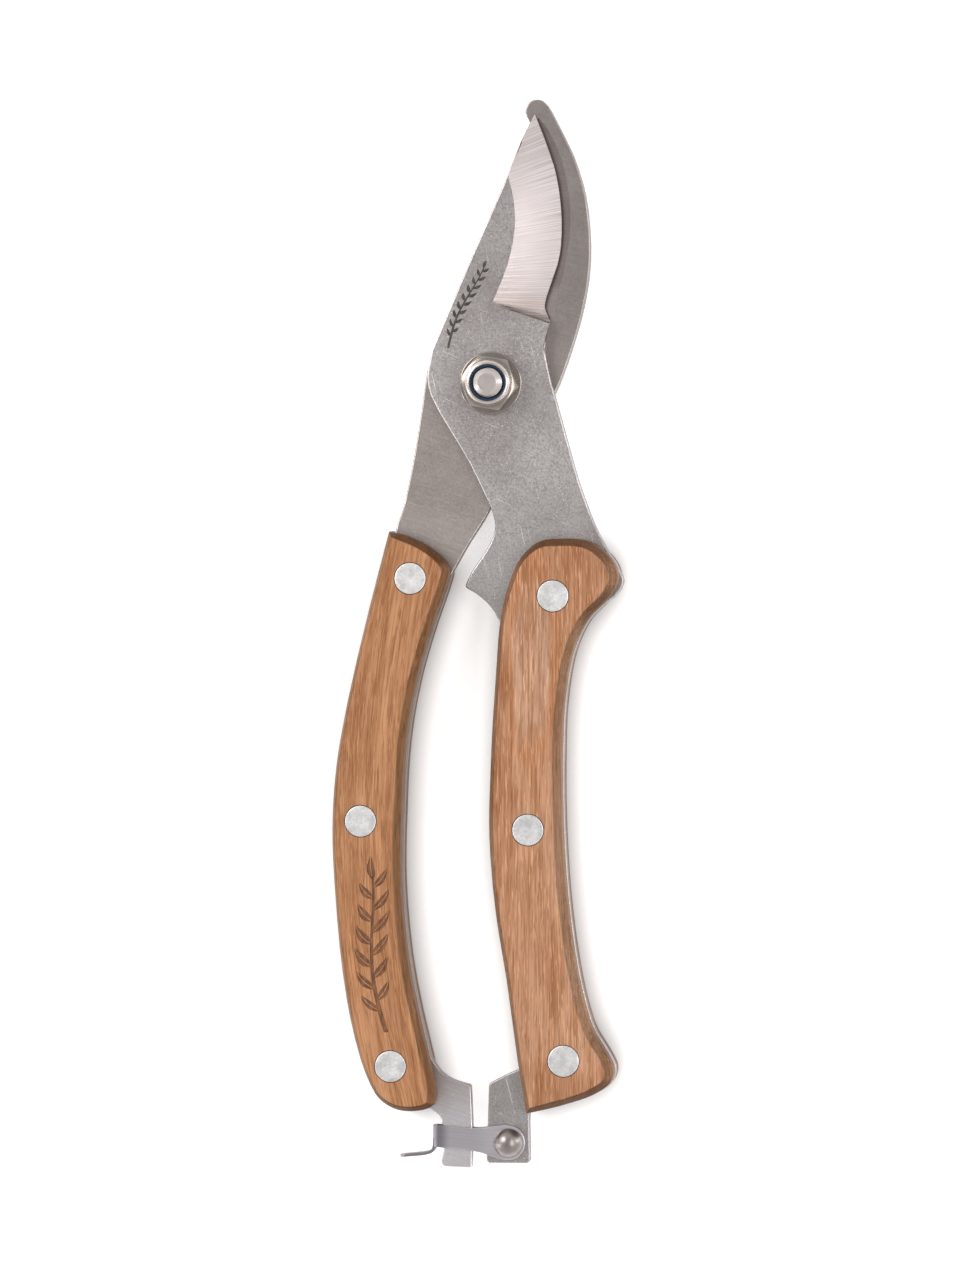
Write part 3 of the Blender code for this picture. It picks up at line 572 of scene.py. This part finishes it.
RIGHT_GRAIN = {"bow": 0.0, "shift": (31, 12, 5), "waver": 0.8,
               "figure": (0.13, 0.03, 0.1), "rings": 2.2, "ring_from": 0.16, "ring_share": 0.85,
               "fleck_share": 0.6, "pore_share": 0.35, "fibre_share": 0.5,
               "patch_share": 0.38, "flame": (11.0, -2.0, 4.4, 19.0)}
LEFT_GRAIN = {"bow": -0.002, "shift": (3, 36.7, 0), "waver": 1.0,
              "figure": (0.22, 0.012, 0.1), "rings": 7.0, "ring_from": 0.3, "ring_share": 0.65,
              "fleck_share": 0.3, "pore_share": 0.35, "fibre_share": 0.42,
              "patch_share": 0.25}


def clouded(name, metallic, roughness, scale, tones, depth, high=0.7):
    """A plain material whose colour drifts between two tones."""
    s = Shader(name, metallic, roughness)
    cloud = s.noise(s.mapped(s.mm, scale), 3, 0.6)
    s.colour(s.mix(s.between(cloud, 0.3, high), *tones))
    s.bump(cloud, depth)
    return s.material


def make_materials():
    pivot_x, pivot_y = PIVOT.x / MM, PIVOT.y / MM
    pin_x, pin_y = LATCH_PIN.x / MM, LATCH_PIN.y / MM
    grinder = (pivot_x - 57, pivot_y + 18)
    return {
        # painted shade towards the head and the lower tang, and painted light towards the blade's left
        "plate": steel("plate_steel", rgb(199, 194, 193), rgb(172, 165, 164), 0.36, specks=1.0,
                       mottling=0.42,
                       painted_light_and_shade=[("Y", pivot_y + 4, pivot_y + 34, (0.84, 0.84, 0.84)),
                               ("Y", pivot_y - 20, pivot_y - 36, (0.9, 0.9, 0.9)),
                               ("X", pivot_x - 3.5, pivot_x - 10, (1.11, 1.12, 1.12))]),
        # painted shade towards the hook's head, and painted light, cooler, towards its tab
        "hook": steel("hook_steel", rgb(180, 171, 167), rgb(166, 157, 153), 0.34,
                      (0.3, 0.3, 12.0, 0.1), specks=0.25, mottling=0.16,
                      painted_light_and_shade=[("Y", pivot_y - 10, pivot_y + 20, (0.8, 0.8, 0.8)),
                              ("Y", pin_y + 16, pin_y + 4, (1.72, 1.85, 2.02))]),
        # the relief's dark tone is painted shade and dark reflection beside the blade's edge, darker still
        # towards the tip
        "relief": steel("relief_steel", rgb(124, 114, 112), rgb(112, 102, 100), 0.5,
                        (0.1, 0.3, 3.0, 0.2), mottling=0.1, metallic=0.35,
                        painted_light_and_shade=[("Y", pivot_y + 17, pivot_y + 20, (0.7, 0.68, 0.67))]),
        # darker and warmer towards the grind's lower end
        "grind": steel("ground_bevel", rgb(193, 186, 186), rgb(180, 171, 170), 0.46,
                       mottling=0.06, fan=(grinder, 0.16, 22.0, 0.5), walls=0.7,
                       painted_light_and_shade=[("Y", pivot_y + 19.5, pivot_y + 15.5, (0.9, 0.86, 0.84))]),
        # the scoop's darker tone is painted shade, darker still towards its left
        "scoop": steel("ground_scoop", rgb(176, 166, 162), rgb(150, 139, 134), 0.4,
                       mottling=0.2, fan=(grinder, 0.2, 9.0, 0.7),
                       painted_light_and_shade=[("X", pivot_x + 7.5, pivot_x + 2.5, (0.5, 0.47, 0.46))]),
        # painted shade in the strap's fold, darker towards its bend
        "latch": steel("latch_steel", rgb(208, 203, 209), rgb(196, 191, 197), 0.3,
                       (0.08, 0.25, 14.0, 0.12),
                       painted_light_and_shade=[("X", pin_x - 11.2, pin_x - 13.6, (0.5, 0.5, 0.52))]),
        "fastener": polished("fastener_steel", rgb(158, 149, 143), 0.2, PIVOT),
        # the collar is a brighter copy of the nut's steel: a painted highlight
        "collar": polished("collar_steel", rgb(204, 196, 190), 0.26, PIVOT),
        "bolt_end": polished("bolt_end", rgb(198, 190, 187), 0.36),
        "dome": polished("dome_steel", rgb(150, 143, 140), 0.32),
        "spring": polished("spring_steel", rgb(150, 150, 152), 0.3),
        "rivet": rivet_metal(),
        "wood_right": wood("wood_right", rgb(172, 130, 102), rgb(150, 103, 70), rgb(132, 82, 46),
                           RIGHT_GRAIN),
        "wood_left": wood("wood_left", rgb(171, 125, 90), rgb(152, 105, 70), rgb(122, 72, 38),
                          LEFT_GRAIN),
        "burnt": clouded("burnt_wood", 0.0, 0.7, (1.2, 0.5, 1.2),
                         (rgb(92, 55, 32), rgb(130, 86, 54)), 0.03),
        "etch": clouded("etched_steel", 0.6, 0.6, (2.5, 2.5, 2.5),
                        (rgb(58, 54, 52), rgb(92, 88, 86)), 0.004, 0.75),
        "nylon": clouded("nylon", 0.0, 0.38, (1.5, 1.5, 1.5),
                         (rgb(5, 34, 60), rgb(12, 52, 84)), 0.01),
    }


# Meshes

def new_piece(name, bm, body, slot, looks, *nodes):
    """A finished piece on its body, standing for the given CAD nodes.

    With no body it has still to be put on one.
    """
    weights = bm.edges.layers.float.get("bevel_weight_edge")
    for face in bm.faces:
        face.smooth = True
    for edge in bm.edges:
        between_looks = len({face.material_index for face in edge.link_faces}) > 1
        corner = turning(edge) > SHARP and not (weights and edge[weights] > 0)
        edge.smooth = not (between_looks or corner)
    piece = link_mesh(name, bm, [MATERIALS[look] for look in looks])
    if body:
        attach(piece, body)
    if nodes:
        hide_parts(*nodes)
    return piece


def solid_of(node, apart=0.0001):
    """The CAD node's mesh with its near points joined and its flat faces whole."""
    bm = bmesh.new()
    bm.from_mesh(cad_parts[node].data)
    bmesh.ops.remove_doubles(bm, verts=bm.verts, dist=apart * MM)
    bmesh.ops.dissolve_degenerate(bm, edges=bm.edges, dist=apart * MM)
    bmesh.ops.dissolve_limit(bm, angle_limit=math.radians(ONE_FACE), verts=bm.verts,
                             edges=bm.edges)
    for face in bm.faces:
        face.material_index = 0
    return bm


def turning(edge):
    """The angle between an edge's two faces, in degrees."""
    return math.degrees(edge.calc_face_angle(0.0))


def rounded(bm, width_of, widest):
    """Gives each edge its own rounding radius, as a share of the widest."""
    layer = bm.edges.layers.float.new("bevel_weight_edge")
    for edge in bm.edges:
        edge[layer] = min(width_of(edge) / widest, 1.0)


def add_normals(piece):
    normals = piece.modifiers.new("normals", "WEIGHTED_NORMAL")
    normals.weight = FLAT_WEIGHT
    normals.keep_sharp = True


def add_rounding(piece, widest, segments):
    bevel = piece.modifiers.new("rounding", "BEVEL")
    bevel.limit_method = "WEIGHT"
    bevel.width = widest * MM
    bevel.segments = segments
    bevel.use_clamp_overlap = False
    bevel.miter_outer = "MITER_ARC"
    bevel.harden_normals = False
    add_normals(piece)


def bridge(bm, one, two):
    """Faces between two loops of the same length. Where corners meet, a face has fewer."""
    for a, b, c, d in zip(one, one[1:] + one[:1], two[1:] + two[:1], two):
        corners = list(dict.fromkeys((a, b, c, d)))
        if len(corners) > 2:
            bm.faces.new(corners)


def circle(centre, radius, height, segments=64, turn=0.0):
    """Points round an upright axis, for a radius and height in millimetres."""
    angles = [math.radians(turn) + 2 * math.pi * i / segments for i in range(segments)]
    return [Vector((centre.x + radius * MM * math.cos(a), centre.y + radius * MM * math.sin(a),
                    height * MM)) for a in angles]


def lathe(profile, centre, segments=72, hollow=False):
    """A profile of (radius, height) turned about an upright axis, with single points on it."""
    bm = bmesh.new()
    rings = []
    for radius, height in profile:
        if radius == 0:
            rings.append([bm.verts.new((centre.x, centre.y, height * MM))] * segments)
        else:
            rings.append([bm.verts.new(p) for p in circle(centre, radius, height, segments)])
    pairs = list(zip(rings, rings[1:]))
    if hollow:
        pairs.append((rings[-1], rings[0]))
    for one, two in pairs:
        bridge(bm, one, two)
    bmesh.ops.recalc_face_normals(bm, faces=bm.faces)
    return bm


def quarter(centre, radius, start, stop, steps=5):
    """Points of an arc in a (radius, height) profile, between two angles in degrees."""
    angles = np.radians(np.linspace(start, stop, steps + 1))
    return [(centre[0] + radius * math.cos(a), centre[1] + radius * math.sin(a)) for a in angles]


def combined(bm, how, cutters):
    """The bmesh cut by or intersected with others, all faces keeping their material index."""
    stand_ins = [bpy.data.materials.new(name) for name in ("look_0", "look_1", "look_2", "look_3")]
    body = link_mesh("body", bm, stand_ins)
    used = [body]
    for cutter_bm in cutters:
        modifier = body.modifiers.new("combine", "BOOLEAN")
        modifier.operation = how
        modifier.solver = "EXACT"
        modifier.object = link_mesh("cutter", cutter_bm, stand_ins)
        used.append(modifier.object)
    result = bmesh.new()
    evaluated = body.evaluated_get(bpy.context.evaluated_depsgraph_get())
    result.from_mesh(evaluated.to_mesh())
    evaluated.to_mesh_clear()
    for old in used:
        bpy.data.meshes.remove(old.data)
    for material in stand_ins:
        bpy.data.materials.remove(material)
    return result


def prism(points, low, high, index=0):
    """A closed outline between two heights, with a material index for all its faces."""
    bm = bmesh.new()
    rings = [[bm.verts.new((p.x, p.y, z * MM)) for p in points] for z in (low, high)]
    bm.faces.new(rings[0][::-1])
    bm.faces.new(rings[1])
    bridge(bm, *rings)
    for face in bm.faces:
        face.material_index = index
    bmesh.ops.recalc_face_normals(bm, faces=bm.faces)
    return bm


# Ornaments

def branch(start, end, leaf, pairs, low, high, index):
    """Cutters in the shape of a twig with pairs of pointed leaves and one more at its tip."""
    along = (end - start).normalized()
    side = Vector((-along.y, along.x))
    length = (end - start).length / MM
    leaf_length, leaf_width, rib = leaf
    stem = 0.14 * leaf_width + 0.06
    tip = length - 0.9 * leaf_length

    def place(run, offset):
        sway = 0.035 * length * math.sin(1.6 * math.pi * run / length)
        return start + along * run * MM + side * (offset + sway) * MM

    first = 0.12 * length
    runs = np.linspace(0, tip, 14)
    widths = [stem * (1.5 - 0.8 * run / tip) for run in runs]
    twig = [place(run, width) for run, width in zip(runs, widths)]
    twig += [place(run, -width) for run, width in zip(runs[::-1], widths[::-1])]
    cutters = [prism(twig, low, high, index)]

    def leaf_at(run, angle, size):
        """A leaf whose foot is on the twig, as two halves beside its bowed rib if it has one."""
        turn = math.radians(angle)
        hand = math.copysign(1, angle or 1)
        edges = [[], []]
        ribs = [[], []]
        for out, edge, middle in zip((1, -1), edges, ribs):
            for share in np.linspace(0, 1, 9):
                half = 0.5 * leaf_width * size * math.sin(math.pi * share ** 0.8) ** 0.9
                bow = 0.08 * leaf_length * size * math.sin(math.pi * share) * hand
                for line, offset in ((edge, max(half, rib)), (middle, rib)):
                    x = share * leaf_length * size
                    y = out * offset + bow
                    line.append(place(run + x * math.cos(turn) - y * math.sin(turn),
                                      x * math.sin(turn) + y * math.cos(turn)))
        if rib:
            for edge, middle in zip(edges, ribs):
                cutters.append(prism(edge + middle[-2:0:-1], low, high, index))
        else:
            cutters.append(prism(edges[0] + edges[1][-2:0:-1], low, high, index))

    step = (tip - first) / pairs
    for pair in range(pairs):
        run = first + step * pair
        size = 0.82 + 0.18 * math.sin(math.pi * (pair + 0.7) / pairs)
        leaf_at(run, 40, size)
        leaf_at(run + 0.5 * step, -40, size)
    leaf_at(tip - 0.14 * leaf_length, 0.0, 0.9)
    return cutters


def wall_height(edge):
    """How high the upright face beside an edge is, in millimetres, where it is lowest."""
    heights = []
    for face in edge.link_faces:
        if abs(face.normal.z) > 0.5:
            continue
        for side in face.edges:
            run = side.verts[0].co - side.verts[1].co
            if abs(run.z) > 2 * run.to_2d().length:
                heights.append(abs(run.z) / MM)
    return min(heights, default=0.0)


def make_plate(node, body, slot, looks, leans, engraving=()):
    """A plate with its edges rounded. The looks are its steel's and those of its slopes."""
    bm = solid_of(node, TOO_SHORT)
    for face in bm.faces:
        if face.calc_center_median().y < PIVOT.y + HEAD_START * MM or face.normal.z < 0:
            continue
        lean = math.degrees(math.acos(min(1.0, abs(face.normal.z))))
        heights = [v.co.z for v in face.verts]
        if max(heights) - min(heights) < LAND * MM and lean > UPRIGHT:
            face.material_index = 1
        for index, (least, most) in enumerate(leans, 1):
            if least < lean <= most:
                face.material_index = index

    def width_of(edge):
        if turning(edge) < SHARP:
            return 0.0
        spare = max(wall_height(edge) - THIN_WALL, 0.0)
        return min(PLATE_ROUND, ROUND_PER_WALL * spare + LEAST_ROUND)

    if engraving:
        bm = combined(bm, "DIFFERENCE", engraving)
    engraved = len(leans) + 1
    rounded(bm, width_of, PLATE_ROUND)
    layer = bm.edges.layers.float["bevel_weight_edge"]
    for edge in bm.edges:
        if any(face.material_index == engraved for face in edge.link_faces):
            edge[layer] = 0.0
    piece = new_piece(f"{node}_finish", bm, body, slot, looks, node)
    add_rounding(piece, PLATE_ROUND, 3)


def etching():
    start, end = (PIVOT.to_2d() + Vector(place) * MM for place in (ETCH_START, ETCH_END))
    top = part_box("blade_plate")[1].z / MM
    return branch(start, end, ETCH_LEAF, ETCH_PAIRS, top - ETCH_DEPTH, top + CUT_CLEAR, 3)


# Handles

def border(bm, height):
    """The outer outline of a scale's mesh at a height, as points that run anticlockwise."""
    near = {}
    for edge in bm.edges:
        level = all(abs(v.co.z - height * MM) < LEVEL * MM for v in edge.verts)
        if level and turning(edge) > OUTLINE_TURN and not in_counterbore(edge):
            for vert in edge.verts:
                near.setdefault(vert, []).append(edge)
    first = next(iter(near))
    loop = [first]
    edge = near[first][0]
    while True:
        vert = edge.other_vert(loop[-1])
        if vert == first:
            break
        loop.append(vert)
        edge = next(e for e in near[vert] if e != edge)
    points = [v.co.to_2d() for v in loop]
    area = sum(a.cross(b) for a, b in zip(points, points[1:] + points[:1]))
    return points if area > 0 else points[::-1]


def spaced(points, spacing):
    """The loop with more points on its long stretches."""
    result = []
    for here, there in zip(points, points[1:] + points[:1]):
        count = math.ceil((there - here).length / spacing)
        result += [here.lerp(there, i / count) for i in range(count)]
    return result


def nearest_on(points, place):
    """The point of a closed loop that is nearest to a place."""
    best = None
    for here, there in zip(points, points[1:] + points[:1]):
        run = there - here
        share = min(1.0, max(0.0, (place - here).dot(run) / run.dot(run)))
        point = here + run * share
        if best is None or (point - place).length < (best - place).length:
            best = point
    return best


def bent(start, corner, stop, steps=4):
    """Points of a smooth bend from one point to another, drawn towards a corner."""
    points = []
    for share in np.linspace(0, 1, steps + 1):
        one = start.lerp(corner, share)
        points.append(one.lerp(corner.lerp(stop, share), share))
    return points


def wandering(points):
    """The loop with its line drawn in and out a little, as sanding by hand leaves it."""
    result = []
    for before, here, after in zip(points[-1:] + points[:-1], points, points[1:] + points[:1]):
        run = (after - before).normalized()
        wave = noise.noise(Vector((*here, 0)) / (SANDING_WAVE * MM))
        result.append(here + Vector((-run.y, run.x)) * wave * HAND_SANDED * MM)
    return result


def scale_section(wall, face, levels):
    """A section of a scale's edge, from its foot to its outer face, in three dimensions."""
    foot, shoulder, top = (level * MM for level in levels)
    up = math.copysign(MM, top - foot)
    width = (face - wall).length
    inward = (face - wall) / width
    ease = WOOD_ROUND * MM
    corner = Vector((0, shoulder))
    brow = Vector((width - ease, top))
    slant = (brow - corner).normalized() * ease
    section = [Vector((WOOD_FOOT_ROUND * MM, foot)), Vector((0, foot + WOOD_FOOT_ROUND * up))]
    section += bent(corner - Vector((0, WOOD_ROUND * up)), corner, corner + slant)
    section += bent(brow - slant, brow, brow + Vector((ease, 0)))
    return [Vector((*(wall + inward * point.x), point.y)) for point in section]


def cap(bm, loops):
    """A flat face between an outline and the holes in it."""
    edges = []
    for loop in loops:
        distinct = list(dict.fromkeys(loop))
        edges += [bm.edges.get((a, b)) for a, b in zip(distinct, distinct[1:] + distinct[:1])]
    bmesh.ops.triangle_fill(bm, edges=edges, use_beauty=True)


def make_scale(node, body, slot, outer_z, engraving=()):
    """A wooden scale lofted over its CAD outlines, with eased edges and its rivets' seats."""
    solid = solid_of(node)
    heights = {round(v.co.z / MM, 2) for v in solid.verts if not near_rivet(v.co)}
    levels = sorted(heights, key=lambda z: -abs(z - outer_z / MM))
    walls = spaced(border(solid, levels[1]), STATION * MM)
    face = wandering(spaced(border(solid, levels[2]), STATION * MM))
    solid.free()

    bm = bmesh.new()
    known = {}

    def vertex(point):
        key = tuple(round(c / MM, 4) for c in point)
        if key not in known:
            known[key] = bm.verts.new(point)
        return known[key]

    sections = [scale_section(wall, nearest_on(face, wall), levels) for wall in walls]
    outlines = [[vertex(point) for point in ring] for ring in zip(*sections)]
    for one, two in zip(outlines, outlines[1:]):
        bridge(bm, one, two)

    inner, outer = levels[0], levels[2]
    floor = outer + math.copysign(COUNTERBORE, inner - outer)
    seat = ((COUNTERBORE_R, outer), (COUNTERBORE_R, floor), (RIVET_HOLE_R, floor),
            (RIVET_HOLE_R, inner))
    low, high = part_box(node)
    top_loops = [outlines[-1]]
    foot_loops = [outlines[0]]
    for place in RIVETS:
        if not low.x < place.x < high.x:
            continue
        rings = [[bm.verts.new(point) for point in circle(place, radius, height)]
                 for radius, height in seat]
        for one, two in zip(rings, rings[1:]):
            bridge(bm, one, two)
        top_loops.append(rings[0])
        foot_loops.append(rings[-1])
    cap(bm, top_loops)
    cap(bm, foot_loops)
    bmesh.ops.recalc_face_normals(bm, faces=bm.faces)
    if engraving:
        bm = combined(bm, "DIFFERENCE", engraving)
    add_normals(new_piece(f"{node}_finish", bm, body, slot, (slot, "burnt"), node))


def burning():
    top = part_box("scale_left_front")[1].z / MM
    one, two = (centre_of(f"rivet_left_{n}_front").to_2d() for n in (2, 3))
    start, end = (one.lerp(two, share) for share in BRANCH_SPAN)
    return branch(start, end, BRANCH_LEAF, BRANCH_PAIRS, top - BRANCH_DEPTH, top + CUT_CLEAR, 1)


def near_rivet(place):
    return any((place - rivet).to_2d().length < SEAT_R * MM for rivet in RIVETS)


def in_counterbore(edge):
    return near_rivet((edge.verts[0].co + edge.verts[1].co) / 2)


def rivet_head(top, down):
    """Profile of a rivet head whose face is at top, with a shallow dimple and a soft rim."""
    face = [(r, top - down * RIVET_DIMPLE * 0.5 * (1 + math.cos(math.pi * r / RIVET_DIMPLE_R)))
            for r in np.linspace(0, RIVET_DIMPLE_R, 8)]
    rim = [(RIVET_R - RIVET_RIM * (1 - math.sin(a)), top - down * RIVET_RIM * (1 - math.cos(a)))
           for a in np.linspace(0, math.pi / 2, 6)]
    foot = top - down * RIVET_DEPTH
    return [*face, *rim, (RIVET_R, foot + down * RIVET_CHAMFER), (RIVET_R - RIVET_CHAMFER, foot),
            (0, foot)]


def make_rivets():
    for node in sorted(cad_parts):
        if not node.startswith("rivet_"):
            continue
        low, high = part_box(node)
        top, down = (high.z, 1) if node.endswith("_front") else (low.z, -1)
        body = "fixed_handle" if "_right_" in node else "moving_handle"
        head = lathe(rivet_head(top / MM, down), centre_of(node))
        new_piece(f"{node}_finish", head, body, "rivet_metal", ["rivet"], node)


# Pivot

def hex_bar(centre, low, high, turn, chamfered):
    """A hexagonal bar whose chosen ends have the usual 30 degree cone chamfer."""
    corner = ACROSS_FLATS / math.sqrt(3)
    bar = prism(circle(centre, corner, 0, 6, turn), low - 1, high + 1)
    flat = ACROSS_FLATS / 2 - HEX_CHAMFER
    reach = corner + HEX_OVERHANG
    slope = (reach - flat) * math.tan(math.radians(30))
    start, rise = (flat, slope) if "low" in chamfered else (reach, 0.001)
    end, fall = (flat, slope) if "high" in chamfered else (reach, 0.001)
    cone = lathe([(0, low), (start, low), (reach, low + rise), (reach, high - fall), (end, high),
                  (0, high)], centre, 96)
    return combined(bar, "INTERSECT", [cone])


def add_hexagon(name, bm, node):
    """A hexagonal piece of the pivot's hardware. The chamfers' small facets stay sharp."""
    def width_of(edge):
        long = edge.calc_length() > HEX_EDGE * MM
        return HEX_ROUND if long and turning(edge) > HEX_CORNER else 0.0

    rounded(bm, width_of, HEX_ROUND)
    piece = new_piece(name, bm, "fixed_handle", "fastener_steel", ["fastener"], node)
    add_rounding(piece, HEX_ROUND, 2)


def thread(centre, low, high):
    """A screw thread as a closed bar, whose upper end is chamfered and then tapers slowly."""
    segments = 64
    count = int((high - low) * THREAD_STEPS / THREAD_PITCH)
    bm = bmesh.new()
    rings = []
    for n in range(count + 1):
        z = low + n * (high - low) / count
        rings.append([])
        for i, point in enumerate(circle(centre, 1, z, segments)):
            share = (z / THREAD_PITCH - i / segments) % 1.0
            groove = max(0.0, 1 - abs(share - 0.5) / 0.42) * THREAD_DEPTH
            radius = min(THREAD_R - groove, BOLT_POINT_R + BOLT_TAPER * (high - z))
            axis = Vector((centre.x, centre.y, point.z))
            rings[-1].append(bm.verts.new(axis.lerp(point, radius)))
    for one, two in zip(rings, rings[1:]):
        bridge(bm, one, two)
    bm.faces.new(rings[0][::-1])
    bm.faces.new(rings[-1])
    bmesh.ops.recalc_face_normals(bm, faces=bm.faces)
    return bm


def turned(name, profile, look, slot, *nodes):
    """A ring of the pivot's hardware, turned from a closed profile."""
    ring = lathe(profile, PIVOT, 96, hollow=True)
    new_piece(name, ring, "fixed_handle", slot, [look], *nodes)


def make_bolt():
    low, high = (corner.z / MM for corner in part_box("pivot_bolt"))
    plates_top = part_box("blade_plate")[1].z / MM
    plates_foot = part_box("hook_plate")[0].z / MM
    head = hex_bar(PIVOT, low, plates_foot - 0.1, 0, ("low",))
    add_hexagon("pivot_bolt_head", head, "pivot_bolt")
    bar = thread(PIVOT, plates_top - 1, high)
    new_piece("pivot_bolt_thread", bar, "fixed_handle", "fastener_steel", ["bolt_end"])


def make_washer():
    low, high = (corner.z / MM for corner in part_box("pivot_washer"))
    ease = WASHER_ROUND
    rim = WASHER_R - ease
    turned("pivot_washer_finish",
           [(WASHER_HOLE_R, low), (rim, low), *quarter((rim, low + ease), ease, -90, 0),
            *quarter((rim, high - ease), ease, 0, 90), (WASHER_HOLE_R + 0.1, high),
            (WASHER_HOLE_R, high - 0.1)], "fastener", "fastener_steel", "pivot_washer")


def make_nut():
    """The nut's bored hexagon, the collar crimped over its nylon ring, and that ring."""
    low, high = (corner.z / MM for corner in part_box("pivot_nut"))
    step = low + COLLAR_FOOT + 0.3
    above = low + NUT_HEIGHT + 1
    bore = [(0, low - 1), (NUT_BORE_R, low - 1), (NUT_BORE_R, step), (NUT_SEAT_R, step),
            (NUT_SEAT_R, above), (0, above)]
    hexagon = hex_bar(PIVOT, low, low + NUT_HEIGHT, NUT_TURN, ("low", "high"))
    body = combined(hexagon, "DIFFERENCE", [lathe(bore, PIVOT, 96)])
    add_hexagon("pivot_nut_finish", body, "pivot_nut")

    foot = low + COLLAR_FOOT
    lip = high - COLLAR_LIP
    brow = COLLAR_R - COLLAR_ROUND
    turned("pivot_nut_collar",
           [(3.0, foot), (COLLAR_R + 0.15, foot), (COLLAR_R + 0.1, foot + 1.3),
            *quarter((COLLAR_R + 0.12, foot + 1.5), 0.12, -90, -180, 3),
            *quarter((brow, high - COLLAR_ROUND), COLLAR_ROUND, 0, 90, 8),
            (3.62, high - 0.05), (3.5, high - 0.3), (3.5, lip), (4.05, lip - 0.05),
            (4.05, foot + 0.8), (3.05, foot + 0.8)], "collar", "fastener_steel")

    low, high = (corner.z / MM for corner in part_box("nut_insert"))
    inner, outer = NYLON_R
    turned("nut_insert_finish",
           [(inner, low), (outer, low), (outer, high - 0.2), (outer - 0.18, high),
            (inner + 0.17, high), (inner, high - 0.15)], "nylon", "nylon", "nut_insert")


def make_spring():
    """The spring winds up evenly from its upper leg, in the blade plate, to its lower one."""
    low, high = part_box("return_spring")
    piece = new_piece("return_spring_finish", solid_of("return_spring"), None, "spring_steel",
                      ["spring"], "return_spring")
    middle = (low.z + high.z) / 2
    ends = [(PIVOT.x, PIVOT.y, middle + side * SPRING_COIL / 2 * MM) for side in (1, -1)]
    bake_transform(piece, "fixed_handle", "moving_handle", start=ends[0], end=ends[1])


# Latch

def make_latch():
    bm = solid_of("latch")
    rounded(bm, lambda edge: STRAP_ROUND if turning(edge) > STRAP_CORNER else 0.0, STRAP_ROUND)
    piece = new_piece("latch_finish", bm, "latch", "latch_steel", ["latch"], "latch")
    add_rounding(piece, STRAP_ROUND, 2)


def make_latch_rivet():
    """A rivet with a dome over the strap's upper eye and a rounded tail under its lower one."""
    low, high = (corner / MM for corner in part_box("latch_rivet"))
    strap_low, strap_high = (corner.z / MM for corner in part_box("latch"))
    radius = (high.x - low.x) / 2
    brim = strap_high + DOME_GAP
    rise = high.z - brim - DOME_BRIM
    sphere = (radius ** 2 + rise ** 2) / (2 * rise)
    start = math.degrees(math.asin((sphere - rise) / sphere))
    dome = quarter((0, high.z - sphere), sphere, start, 90, 20)[:-1]
    tail_top = strap_low - DOME_GAP
    tail = quarter((TAIL_R - TAIL_ROUND, low.z + TAIL_ROUND), TAIL_ROUND, -90, 0, 6)
    profile = [(0, low.z), *tail, (TAIL_R + 0.1, tail_top), (SHANK_R, tail_top), (SHANK_R, brim),
               (radius, brim), *dome, (0, high.z)]
    new_piece("latch_rivet_finish", lathe(profile, LATCH_PIN, 96), "fixed_handle", "latch_steel",
              ["dome"], "latch_rivet")


# Put together

make_camera()
make_studio()
MATERIALS.update(make_materials())
make_plate("blade_plate", "fixed_handle", "plate_steel", ("plate", "grind", "scoop", "etch"),
           (GRIND_LEAN, SCOOP_LEAN), etching())
make_plate("hook_plate", "moving_handle", "hook_steel", ("hook", "relief"), (RELIEF_LEAN,))
front_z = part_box("scale_right_front")[1].z
back_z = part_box("scale_right_back")[0].z
for side, body in (("right", "fixed_handle"), ("left", "moving_handle")):
    ornament = burning() if side == "left" else ()
    make_scale(f"scale_{side}_front", body, f"wood_{side}", front_z, ornament)
    make_scale(f"scale_{side}_back", body, f"wood_{side}", back_z)
make_rivets()
make_bolt()
make_washer()
make_nut()
make_spring()
make_latch()
make_latch_rivet()
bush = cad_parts["pivot_bush"].data.materials
for index in range(len(bush)):
    bush[index] = MATERIALS["fastener"]
